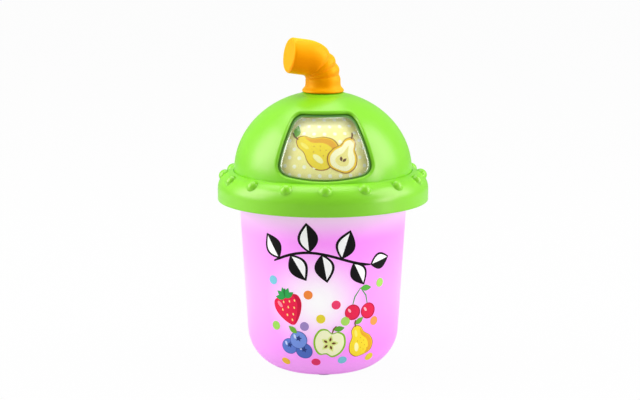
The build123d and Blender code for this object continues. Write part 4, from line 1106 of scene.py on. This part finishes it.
# ------------------------------------------------------------------ drawing in ink
# A drawing is a list of shapes: each has its ink, its closed line and its layer of ink. Drawings
# are in millimetres about their own middle.
LEAF_STEPS = 14
DARK_INK = "#0A0A0A"
STALK = "#7A5430"
PIP = "#6B4423"


def turned(line, x, y, turn, scale=1.0):
    """A line turned by degrees and scaled, then moved."""
    c, s = cos(radians(turn)) * scale, sin(radians(turn)) * scale
    return [(x + u * c - w * s, y + u * s + w * c) for u, w in line]


def moved(shapes, x, y, scale=1.0, turn=0.0, above=0):
    """The drawing scaled, turned and put in its place, over a number of layers of ink."""
    return [(ink, turned(line, x, y, turn, scale), layer + above) for ink, line, layer in shapes]


def resized(line, wide, tall):
    """A line stretched about the drawing's middle."""
    return [(x * wide, y * tall) for x, y in line]


def oval(x, y, wide, tall, turn=0.0, steps=36):
    """An oval by its middle, half width, half height and turn in degrees."""
    turns = [2 * pi * k / steps for k in range(steps)]
    return turned([(wide * cos(a), tall * sin(a)) for a in turns], x, y, turn)


def smooth_loop(points):
    """A smooth closed line through points."""
    steps = 7
    line = []
    for k in range(len(points)):
        p0, p1, p2, p3 = (Vector(points[(k + d) % len(points)]) for d in (-1, 0, 1, 2))
        for step in range(steps):
            t = step / steps
            line.append(tuple(0.5 * (
                2 * p1 + (p2 - p0) * t + (2 * p0 - 5 * p1 + 4 * p2 - p3) * t ** 2
                + (3 * p1 - p0 - 3 * p2 + p3) * t ** 3
            )))
    return line


def mirrored(points):
    """A smooth closed line through points, given from the bottom up to the top, and their mirror."""
    return smooth_loop(points + [(-x, y) for x, y in reversed(points[1:-1])])


def leaf(x, y, long, wide, turn):
    """A pointed leaf from its stalk end, with its length, width and direction in degrees."""
    shares = [step / LEAF_STEPS for step in range(LEAF_STEPS + 1)]
    upper = [(long * t, wide / 2 * sin(pi * t ** 0.9)) for t in shares]
    lower = [(u, -w) for u, w in reversed(upper[1:-1])]
    return turned(upper + lower, x, y, turn)


def stroke(points, width):
    """A drawn line that narrows at its tips."""
    tip_share = 0.55
    runs = [Vector(b) - Vector(a) for a, b in zip(points, points[1:])]
    runs = [runs[0]] + [(a + b) / 2 for a, b in zip(runs, runs[1:])] + [runs[-1]]
    left, right = [], []
    for k, (spot, run) in enumerate(zip(points, runs)):
        half = width / 2 * (tip_share if k in (0, len(points) - 1) else 1.0)
        side = Vector((-run.y, run.x)).normalized() * half
        left.append(tuple(Vector(spot) + side))
        right.append(tuple(Vector(spot) - side))
    return left + right[::-1]


PEAR_SKIN = mirrored([
    (0, -8.6), (4.6, -7.8), (7.0, -4.0), (6.2, 0.2), (3.6, 3.6), (2.7, 7.0), (0, 8.8),
])


def strawberry():
    """A strawberry with pale seeds and a crown of five leaves."""
    body = mirrored([(0, -9), (4.6, -5), (7.4, 0.6), (6.6, 5.0), (2.6, 6.2), (0, 5.6)])
    shade = smooth_loop([
        (0.6, -8.6), (4.5, -4.9), (7.2, 0.6), (6.4, 4.8), (4.6, 5.6), (5.2, 1.0), (3.4, -4.0),
    ])
    seeds = (
        (-1.6, 3.2), (1.6, 2.8), (4.4, 2.6), (-3.4, -0.4), (0, 0.2), (3.0, -0.8), (-1.8, -3.4),
        (1.4, -3.8), (0, -6.4),
    )
    shapes = [("#E8214B", body, 0), ("#C9133F", shade, 1)]
    shapes.append(("#FF8AA0", oval(-4.0, 2.6, 0.9, 1.9, 24, 16), 1))
    shapes += [("#FFE48C", oval(x, y, 0.34, 0.62, 0, 10), 2) for x, y in seeds]
    shapes += [("#2FA04E", leaf(0, 5.0, 5.4, 2.6, turn), 3) for turn in (18, 54, 90, 126, 162)]
    shapes.append(("#237A3B", stroke([(0, 5.6), (0.4, 8.0), (1.4, 9.4)], 0.9), 4))
    return shapes


def half_apple():
    """A halved green apple with a core of five pips."""
    skin = mirrored([
        (0, -6.6), (3.4, -7.6), (6.8, -4.6), (8.2, 0.4), (6.6, 5.2), (3.2, 6.4), (0, 5.0),
    ])
    shapes = [("#8CC02E", skin, 0), ("#F4F6C8", resized(skin, 0.88, 0.88), 1)]
    core_y, pip_out = -0.6, 1.1
    for turn in range(90, 450, 72):
        a = radians(turn)
        shapes.append(("#DDE88C", leaf(0, core_y, 4.6, 2.5, turn), 2))
        pip = leaf(pip_out * cos(a), core_y + pip_out * sin(a), 2.3, 1.1, turn)
        shapes.append((PIP, pip, 3))
    shapes.append((STALK, stroke([(0, 4.8), (0.3, 7.2), (1.2, 9.0)], 0.9), 2))
    shapes.append(("#5FA836", leaf(0.4, 6.8, 5.6, 2.8, 24), 3))
    return shapes


def pear():
    """A whole yellow pear, freckled, with its stalk and a leaf."""
    shade = smooth_loop([
        (0.8, -8.3), (4.5, -7.5), (6.7, -3.9), (5.9, 0.1), (3.4, 3.5), (2.5, 6.6), (1.9, 3.0),
        (4.0, -1.0), (3.8, -5.0),
    ])
    freckles = (
        (0.4, -5.6), (1.8, -3.6), (-0.8, -3.8), (0.6, -1.6), (2.2, -0.8), (-1.4, 0.4), (0.8, 1.4),
        (2.6, -6.0),
    )
    shapes = [("#A5661C", resized(PEAR_SKIN, 1.06, 1.045), 0), ("#F5DA33", PEAR_SKIN, 1)]
    shapes += [("#E7A92C", shade, 2), ("#FDF6B0", oval(-3.0, -2.6, 1.2, 2.6, -12, 18), 2)]
    shapes.append(("#FBE96E", oval(-1.0, 4.8, 0.8, 2.1, -8, 16), 2))
    shapes += [("#C98A1E", oval(x, y, 0.22, 0.22, 0, 8), 3) for x, y in freckles]
    shapes.append((STALK, stroke([(0, 8.4), (0.3, 10.4), (1.3, 12.0)], 0.9), 3))
    shapes.append(("#6FB33A", leaf(0.3, 9.8, 5.8, 2.8, 18), 4))
    return shapes


def half_pear():
    """A halved pear with its heart and two pips."""
    flesh = [(x, y - 0.3) for x, y in resized(PEAR_SKIN, 0.86, 0.89)]
    heart = mirrored([(0, -6.2), (2.9, -5.0), (3.2, -2.6), (1.2, 0.4), (0, 4.6)])
    shapes = [("#A5661C", resized(PEAR_SKIN, 1.07, 1.05), 0), ("#F3C92C", PEAR_SKIN, 1)]
    shapes += [("#FFF8CF", flesh, 2), ("#F2E48F", heart, 3)]
    shapes += [(PIP, leaf(0.3, -3.9, 2.5, 1.3, 62), 4), (PIP, leaf(-0.3, -3.9, 2.5, 1.3, 118), 4)]
    shapes.append((STALK, stroke([(0, 8.2), (-0.2, 10.2), (-1.0, 11.6)], 0.9), 2))
    return shapes


def peach():
    """A peach with a blush, its seam and two leaves."""
    body = oval(0, -0.4, 7.9, 7.5, 0, 44)
    blush = smooth_loop([
        (0.6, -7.6), (4.6, -6.4), (7.3, -2.0), (6.6, 3.2), (4.6, 4.8), (5.2, 0.0), (3.6, -4.2),
    ])
    shapes = [("#E0802A", resized(body, 1.05, 1.05), 0), ("#FBA84A", body, 1), ("#F58331", blush, 2)]
    seam = stroke([(0.2, 6.6), (-1.4, 3.2), (-1.8, -0.8), (-1.0, -4.2)], 0.55)
    shapes += [("#D9762A", seam, 3), ("#FFDDA2", oval(-4.4, 2.0, 1.1, 2.2, 24, 18), 3)]
    shapes.append((STALK, stroke([(0, 6.4), (0.2, 8.2)], 0.9), 4))
    shapes.append(("#5FA836", leaf(0.2, 7.2, 6.4, 3.2, 28), 5))
    shapes.append(("#4A9230", leaf(0, 7.2, 5.4, 2.8, 148), 5))
    return shapes


def blueberries():
    """Three blueberries, each with its star, and a leaf."""
    shapes = []
    berries = ((-4.2, -1.6, 4.3, "#5E7CCB"), (4.3, -2.2, 4.4, "#4F6DBE"), (0.4, 3.4, 4.6, "#7391DB"))
    for berry, (x, y, r, tone) in enumerate(berries):
        layer = berry * 3
        star = []
        for k in range(10):
            reach = r * (0.42 if k % 2 == 0 else 0.2)
            star.append((x + reach * sin(k * pi / 5), y + r * 0.2 + reach * cos(k * pi / 5)))
        glint = oval(x - r * 0.5, y + r * 0.32, r * 0.14, r * 0.28, 30, 12)
        shapes += [("#3C4F96", oval(x, y, r * 1.06, r * 1.06), layer), (tone, oval(x, y, r, r), layer + 1)]
        shapes += [("#31417F", star, layer + 2), ("#C9D6F7", glint, layer + 2)]
    shapes.append(("#6FB33A", leaf(-1.0, 7.0, 6.0, 2.9, 152), 9))
    return shapes


def cherries():
    """Two cherries on one pair of stalks with a leaf."""
    shapes = [("#3F9A45", stroke([(-4.2, -0.4), (-2.6, 4.0), (1.0, 8.2)], 0.7), 0)]
    shapes.append(("#3F9A45", stroke([(4.4, -1.6), (3.8, 3.6), (1.0, 8.2)], 0.7), 0))
    for x, y, r in ((-4.4, -4.0, 4.0), (4.6, -5.0, 4.1)):
        shapes.append(("#B9103A", oval(x, y, r * 1.06, r * 1.04), 1))
        shapes.append(("#E4264F", oval(x - 0.2, y + 0.1, r * 0.94, r * 0.92), 2))
        shapes.append(("#FFB3C1", oval(x - r * 0.42, y + r * 0.3, r * 0.16, r * 0.3, 28, 12), 3))
    shapes.append(("#5CB044", leaf(1.0, 8.0, 6.4, 3.2, -8), 3))
    return shapes


def sprig():
    """A bold sprig of two-toned leaves along one bowed stem."""
    joints, half_long = 16, 25
    stem = []
    for k in range(joints + 1):
        t = k / joints
        stem.append((half_long * (2 * t - 1), 5.5 * sin(pi * t * 1.25 + 0.35) + 5.0 * t - 2.0))
    shapes = [(DARK_INK, stroke(stem, 1.3), 0)]
    border = 1.1
    for joint, turn, long, wide in (
        (1, 122, 14.0, 9.4), (3, -58, 15.0, 9.8), (6, 96, 15.0, 10.2), (8, -80, 14.5, 9.8),
        (11, 72, 15.0, 10.0), (13, -64, 13.0, 9.0), (16, 12, 12.5, 8.4),
    ):
        x, y = stem[joint]
        a = radians(turn)
        pale = leaf(x + border * cos(a), y + border * sin(a), long * 0.82, wide * 0.74, turn)
        # Only one side of a leaf's midrib is pale
        shapes += [(DARK_INK, leaf(x, y, long, wide, turn), 1), ("#FAFAFA", pale[:LEAF_STEPS + 1], 2)]
    return shapes


# ------------------------------------------------------------------ printing on a surface
PRINT_CELL = 1.6
INK_LIFT = 0.05
INK_LAYER = 0.035
INK_ROOT = 0.03


def sheet_of(line):
    """A flat outline cut into small triangles that can follow a curved skin, and its rim."""
    mesh = bmesh.new()
    mesh.faces.new([mesh.verts.new((x, y, 0)) for x, y in line])
    bmesh.ops.triangulate(mesh, faces=mesh.faces)
    for axis in (0, 1):
        low, high = min(p[axis] for p in line), max(p[axis] for p in line)
        at = low + PRINT_CELL
        while at < high:
            spot, normal = [0.0, 0.0, 0.0], [0.0, 0.0, 0.0]
            spot[axis], normal[axis] = at, 1.0
            everything = mesh.verts[:] + mesh.edges[:] + mesh.faces[:]
            bmesh.ops.bisect_plane(mesh, geom=everything, plane_co=spot, plane_no=normal)
            at += PRINT_CELL
    bmesh.ops.recalc_face_normals(mesh, faces=mesh.faces)
    mesh.verts.index_update()
    points = [(v.co.x, v.co.y) for v in mesh.verts]
    up = sum(f.normal.z for f in mesh.faces) > 0
    faces = [tuple(v.index for v in (f.verts if up else reversed(f.verts))) for f in mesh.faces]
    mesh.free()
    used = [edge for face in faces for edge in zip(face, face[1:] + face[:1])]
    both_ways = set(used)
    rim = [(a, b) for a, b in used if (b, a) not in both_ways]
    return points, faces, rim


def slab_faces(faces, rim, top, bottom):
    """Faces of a thin slab: its top, its underside and the walls along its rim."""
    slab = [tuple(top + i for i in face) for face in faces]
    slab += [tuple(bottom + i for i in reversed(face)) for face in faces]
    slab += [(top + b, top + a, bottom + a, bottom + b) for a, b in rim]
    return slab


def ink_corners(thing, inks):
    """Gives each face of a mesh its ink, which every corner of the face carries."""
    values = [c for face, ink in zip(thing.data.polygons, inks) for c in linear(ink) * face.loop_total]
    attribute = thing.data.attributes.new("ink", "FLOAT_COLOR", "CORNER")
    attribute.data.foreach_set("color", values)


def print_piece(name, jobs, material, body):
    """One piece of closed thin ink shapes. A job is a drawing and the function that lays it on."""
    points, faces, inks = [], [], []
    for shapes, lay in jobs:
        for ink, line, layer in shapes:
            flat, cells, rim = sheet_of(line)
            first = len(points)
            for lift in (INK_LIFT + INK_LAYER * layer, -INK_ROOT):
                points += [lay(x, y, lift) for x, y in flat]
            slab = slab_faces(cells, rim, first, first + len(flat))
            faces += slab
            inks += [ink] * len(slab)
    thing = finished(mesh_thing(name, points, faces), material, body, 30, ())
    ink_corners(thing, inks)


def on_cup(turn, height, lift):
    """A point of the cup's skin by its turn from the front and the way up its wall."""
    if height >= WALL_FOOT:
        a = CUP_LEAN
        r = CUP_FOOT_R + CUP_CORNER_R * cos(a) + (height - WALL_FOOT) * sin(a)
        z = WALL_FOOT + (height - WALL_FOOT) * cos(a)
    else:
        a = CUP_LEAN + (WALL_FOOT - height) / CUP_CORNER_R
        r = CUP_FOOT_R + CUP_CORNER_R * cos(a)
        z = CUP_CORNER_R * (1 - sin(a))
    r += lift * cos(a)
    return r * sin(turn), -r * cos(turn), z - lift * sin(a)


def cup_place(turn, height):
    """Lays a drawing on the cup round a middle given in degrees from the front and millimetres up."""
    def lay(x, y, lift):
        r = hypot(*on_cup(0, height + y, 0)[:2])
        return on_cup(radians(turn) + x / r, height + y, lift)
    return lay


# The ink's glow is painted light, for the lit cup wall showing through it
cup_ink = printed("pad-printed ink", 0.5, 0.12, 0.35, 0.16)
print_piece("cup_print", [
    (sprig(), cup_place(-2, 61)),
    (moved(strawberry(), 0, 0, 1.0, 18), cup_place(-27, 38)),
    (moved(blueberries(), 0, 0, 0.90, -10), cup_place(-21, 19)),
    (moved(half_apple(), 0, 0, 0.98, -14), cup_place(3.5, 21)),
    (moved(pear(), 0, 0, 0.92, 20), cup_place(27, 21)),
    (moved(cherries(), 0, 0, 0.95, 6), cup_place(26, 40)),
], cup_ink, "cup_body")

# ------------------------------------------------------------------ pictures on the drum
LABEL_BACKS = ("#FBF0A0", "#FBC3CE", "#FCD9A6", "#D3EFAE", "#C9D9FA")
LABEL_COLUMNS = 40
LABEL_ROWS = 28
LABEL_MIDDLE = radians(26.0)
# An inked label's curve, up the drum, has about this radius
LABEL_CURVE = LABEL_RISE + 1.5
LEVEL_LOW = asin((LABEL_LOW - DOME_Z) / LABEL_RISE)
LEVEL_HIGH = asin((LABEL_HIGH - DOME_Z) / LABEL_RISE)


def on_label(turn, level, lift):
    """A point of the picture labels' face by its turn from the front and its level, in radians."""
    r, rise = LABEL_R * cos(level), LABEL_RISE * sin(level)
    out = Vector((r / LABEL_R ** 2, rise / LABEL_RISE ** 2)).normalized()
    r += lift * out.x
    return r * sin(turn), -r * cos(turn), DOME_Z + rise + lift * out.y


def label_place(picture):
    """Lays a drawing on one of the drum's pictures round its middle."""
    def lay(x, y, lift):
        level = LABEL_MIDDLE + y / LABEL_CURVE
        return on_label(2 * pi * picture / PICTURES + x / (LABEL_R * cos(level)), level, lift)
    return lay


def label_sheets():
    """Points, faces and inks of the pictures' paper: one thin curved sheet for each."""
    wide = LABEL_COLUMNS + 1
    cells = []
    for row in range(LABEL_ROWS):
        for i in range(row * wide, row * wide + LABEL_COLUMNS):
            cells.append((i, i + 1, i + 1 + wide, i + wide))
    top_left = LABEL_ROWS * wide
    border = list(range(wide)) + [row * wide + LABEL_COLUMNS for row in range(1, LABEL_ROWS + 1)]
    border += [top_left + column for column in reversed(range(LABEL_COLUMNS))]
    border += [row * wide for row in reversed(range(1, LABEL_ROWS))]
    rim = list(zip(border, border[1:] + border[:1]))
    points, faces, inks = [], [], []
    for picture, back in enumerate(LABEL_BACKS):
        first = len(points)
        for lift in (0.0, LABEL_INSET - LABEL_BACK):
            for row in range(LABEL_ROWS + 1):
                level = LEVEL_LOW + (LEVEL_HIGH - LEVEL_LOW) * row / LABEL_ROWS
                half = pi / PICTURES - asin(LABEL_SPLIT / 2 / (LABEL_R * cos(level)))
                for column in range(wide):
                    turn = 2 * pi * picture / PICTURES + half * (2 * column / LABEL_COLUMNS - 1)
                    points.append(on_label(turn, level, lift))
        slab = slab_faces(cells, rim, first, first + wide * (LABEL_ROWS + 1))
        faces += slab
        inks += [back] * len(slab)
    return points, faces, inks


points, faces, inks = label_sheets()
labels = mesh_thing("pictures", points, faces)
finished(labels, finishes["printed_label"], "spinner", 40, ("picture_labels",))
ink_corners(labels, inks)

print_piece("picture_print", [
    (moved(pear(), -4.2, 0.2, 1.2, 60) + moved(half_pear(), 9.8, -2.4, 1.02, -24, 5), label_place(0)),
    (moved(strawberry(), -5, 0, 1.4, 14) + moved(strawberry(), 11.5, -3, 0.85, -24, 5), label_place(1)),
    (moved(peach(), -5, 0, 1.35, 0) + moved(peach(), 11.5, -4, 0.8, -12, 6), label_place(2)),
    (moved(half_apple(), -5, 0, 1.35, 8) + moved(half_apple(), 11.5, -4, 0.8, -18, 4), label_place(3)),
    (moved(blueberries(), -4, 0, 1.6, 0) + moved(blueberries(), 12.5, -4, 0.8, 30, 10), label_place(4)),
], finishes["printed_label"], "spinner")

# ------------------------------------------------------------------ printed dots
dot_tree, given = new_tree("printed dots", {"Ink thickness": "Float", "Sides": "Int"})
disc = add_node(dot_tree, "GeometryNodeMeshCylinder", {
    "Vertices": given["Sides"], "Radius": 1.0, "Depth": given["Ink thickness"],
})
facing = add_node(dot_tree, "GeometryNodeInputNamedAttribute", {
    "Name": "facing",
}, data_type="FLOAT_VECTOR")
aimed = add_node(dot_tree, "FunctionNodeAlignRotationToVector", {"Vector": facing.outputs[0]}, axis="Z")
width = add_node(dot_tree, "GeometryNodeInputNamedAttribute", {"Name": "radius_m"}, data_type="FLOAT")
sized = add_node(dot_tree, "ShaderNodeCombineXYZ", {
    "X": width.outputs[0], "Y": width.outputs[0], "Z": 1.0,
})
discs = add_node(dot_tree, "GeometryNodeInstanceOnPoints", {
    "Points": given["Shape"], "Instance": disc.outputs["Mesh"],
    "Rotation": aimed.outputs[0], "Scale": sized.outputs[0],
})
end_tree(dot_tree, discs.outputs[0], given)


def dot_at(lay, x, y, radius, tone):
    """One dot laid on a skin: its middle, the direction it faces, its radius and its ink."""
    skin, out = Vector(lay(x, y, 0.0)), Vector(lay(x, y, 1.0))
    return lay(x, y, 0.015), (out - skin).normalized(), radius, tone


def dots_piece(name, dots, material, body, sides, thick):
    """One piece of ink dots with a number of sides and a thickness in millimetres."""
    spots, ways, radii, inks = zip(*dots)
    holder = mesh_thing(name + "_spots", spots, [])
    facing = holder.data.attributes.new("facing", "FLOAT_VECTOR", "POINT")
    facing.data.foreach_set("vector", [c for way in ways for c in way])
    radius = holder.data.attributes.new("radius_m", "FLOAT", "POINT")
    radius.data.foreach_set("value", [r * MM for r in radii])
    ink = holder.data.attributes.new("ink", "FLOAT_COLOR", "POINT")
    ink.data.foreach_set("color", [c for tone in inks for c in linear(tone)])
    thing = grown(holder, dot_tree, {
        "Ink thickness": thick * MM, "Sides": sides, "Finish": material,
    }, name)
    finished(thing, material, body, 30, ())


# Each by its turn from the front in degrees, its way up the wall and its ink
CUP_DOTS = (
    (-12, 45, "#F58A3C"), (8, 40, "#F2416E"), (-3, 33, "#E8D63A"), (15, 31.5, "#A9DB63"),
    (-15, 29, "#9E86C2"), (-38, 28, "#9BD85A"), (-7, 10, "#E23A68"), (14, 11, "#7CC7DA"),
    (-33, 9, "#F0C23C"), (39, 30, "#F5A052"), (38, 11, "#E8D63A"), (-39, 51, "#7CC7DA"),
    (43, 49, "#A9DB63"),
)
CUP_DOT_R = 2.25
cup_dots = [dot_at(cup_place(turn, height), 0, 0, CUP_DOT_R, ink) for turn, height, ink in CUP_DOTS]
dots_piece("cup_dots", cup_dots, cup_ink, "cup_body", 28, 0.16)

POLKA_INKS = ("#FFFDE8", "#FFF2F4", "#FFF6E6", "#F6FFE8", "#F2F6FF")
POLKA_PITCH = 5.0
POLKA_ROW = POLKA_PITCH * 0.87
POLKA_R = 0.95
POLKA_MARGIN = 0.9
LEVEL_MARGIN = 0.025


def polka_dots(picture, ink):
    """Staggered rows of pale dots over one picture, clear of its edges."""
    lay = label_place(picture)
    dots = []
    for row in range(-4, 5):
        y = row * POLKA_ROW
        level = LABEL_MIDDLE + y / LABEL_CURVE
        half = hypot(*lay(0, y, 0)[:2]) * (pi / PICTURES) - LABEL_SPLIT / 2
        if LEVEL_LOW + LEVEL_MARGIN < level < LEVEL_HIGH - LEVEL_MARGIN:
            places = [(column + (row % 2) / 2) * POLKA_PITCH for column in range(-6, 7)]
            dots += [dot_at(lay, x, y, POLKA_R, ink) for x in places if abs(x) < half - POLKA_MARGIN]
    return dots


label_dots = [dot for picture, ink in enumerate(POLKA_INKS) for dot in polka_dots(picture, ink)]
dots_piece("picture_dots", label_dots, finishes["printed_label"], "spinner", 14, 0.05)

# ------------------------------------------------------------------ camera
EYE_AZIMUTH = radians(-1.4)
EYE_RISE = radians(10.3)
EYE_DISTANCE = 1.0
AIM_AT = Vector((0, 0, 0.084))
SENSOR = 36.0
PICTURE_WIDE = 640
FOCUS_PIXELS = 2000
SHIFT_RIGHT = -3.0
SHIFT_UP = 1.5


def aimed_at_part(thing, way, distance):
    """Puts a camera or a lamp in the scene, a distance from the part's middle and facing it."""
    thing.location = AIM_AT + way * distance
    thing.rotation_mode = "QUATERNION"
    thing.rotation_quaternion = (-way).to_track_quat("-Z", "Y")
    scene.collection.objects.link(thing)


camera = bpy.data.objects.new("camera", bpy.data.cameras.new("camera"))
camera.data.sensor_width = SENSOR
camera.data.lens = FOCUS_PIXELS / PICTURE_WIDE * SENSOR
camera.data.shift_x = SHIFT_RIGHT / PICTURE_WIDE
camera.data.shift_y = SHIFT_UP / PICTURE_WIDE
camera.data.clip_start = 0.01
camera.data.clip_end = 50
aimed_at_part(camera, Vector((
    sin(EYE_AZIMUTH) * cos(EYE_RISE), -cos(EYE_AZIMUTH) * cos(EYE_RISE), sin(EYE_RISE),
)), EYE_DISTANCE)
scene.camera = camera

# ------------------------------------------------------------------ light, floor and background
scene.view_settings.view_transform = "Standard"


def softbox(name, direction, distance, wide, tall, power):
    """A studio lamp with a white cloth front, in metres and watts."""
    lamp = bpy.data.objects.new(name, bpy.data.lights.new(name, "AREA"))
    lamp.data.shape = "RECTANGLE"
    lamp.data.size = wide
    lamp.data.size_y = tall
    lamp.data.energy = power
    aimed_at_part(lamp, Vector(direction).normalized(), distance)


softbox("right_box", (0.865, -0.045, 0.50), distance=0.9, wide=0.62, tall=0.80, power=6.4)
softbox("right_strip", (0.92, -0.39, 0.07), distance=0.9, wide=0.24, tall=0.26, power=1.5)
softbox("left_box", (-0.865, -0.045, 0.45), distance=0.9, wide=0.62, tall=0.80, power=7.6)
softbox("top_box", (-0.10, 0.22, 1.0), distance=1.1, wide=0.95, tall=0.95, power=7.4)


def looked_at(tree):
    """Is 1 where the camera looks straight or through clear plastic, and 0 for light that bounces."""
    ray = add_node(tree, "ShaderNodeLightPath")
    either = add_node(tree, "ShaderNodeMath", {
        0: ray.outputs["Is Camera Ray"], 1: ray.outputs["Is Transmission Ray"],
    }, operation="MAXIMUM")
    return either.outputs[0]


AIR_LIGHT = 0.43
world = bpy.data.worlds.new("studio")
scene.world = world
world.use_nodes = True
tree = world.node_tree
tree.nodes.clear()
air = add_node(tree, "ShaderNodeBackground", {"Color": linear("#FFFFFF"), "Strength": AIR_LIGHT})
white = add_node(tree, "ShaderNodeBackground", {"Color": linear("#FFFFFF"), "Strength": 1.0})
sky = add_node(tree, "ShaderNodeMixShader", {
    0: looked_at(tree), 1: air.outputs[0], 2: white.outputs[0],
})
add_node(tree, "ShaderNodeOutputWorld", {"Surface": sky.outputs[0]})


def studio_paper():
    """White studio paper: matt and slowly uneven, as its tooth is too fine to show, and lit so that
    only the part's faint shade is seen on it."""
    paper_shows = 0.03
    material, tree, output = new_finish("white studio paper")
    place = add_node(tree, "ShaderNodeTexCoord")
    tooth = add_node(tree, "ShaderNodeTexNoise", {
        "Vector": place.outputs["Object"], "Scale": 6.0, "Detail": 2.0,
    })
    tone = add_node(tree, "ShaderNodeMix", {
        "Factor": tooth.outputs["Fac"], 6: linear("#C2C2C2"), 7: linear("#C8C8C8"),
    }, data_type="RGBA")
    paper = add_node(tree, "ShaderNodeBsdfDiffuse", {"Color": tone.outputs[2]})
    bright = add_node(tree, "ShaderNodeEmission", {"Color": linear("#FFFFFF"), "Strength": 1.0})
    share = add_node(tree, "ShaderNodeMath", {
        0: looked_at(tree), 1: 1 - paper_shows,
    }, operation="MULTIPLY")
    both = add_node(tree, "ShaderNodeMixShader", {
        0: share.outputs[0], 1: paper.outputs[0], 2: bright.outputs[0],
    })
    tree.links.new(both.outputs[0], output.inputs["Surface"])
    return material


FLOOR_REACH = 6000.0
FLOOR_DROP = 0.05
corners = [(x * FLOOR_REACH, y * FLOOR_REACH, -FLOOR_DROP) for x, y in ((-1, -1), (1, -1), (1, 1), (-1, 1))]
floor = mesh_thing("floor", corners, [(0, 1, 2, 3)])
floor.data.materials.append(studio_paper())
scene.collection.objects.link(floor)
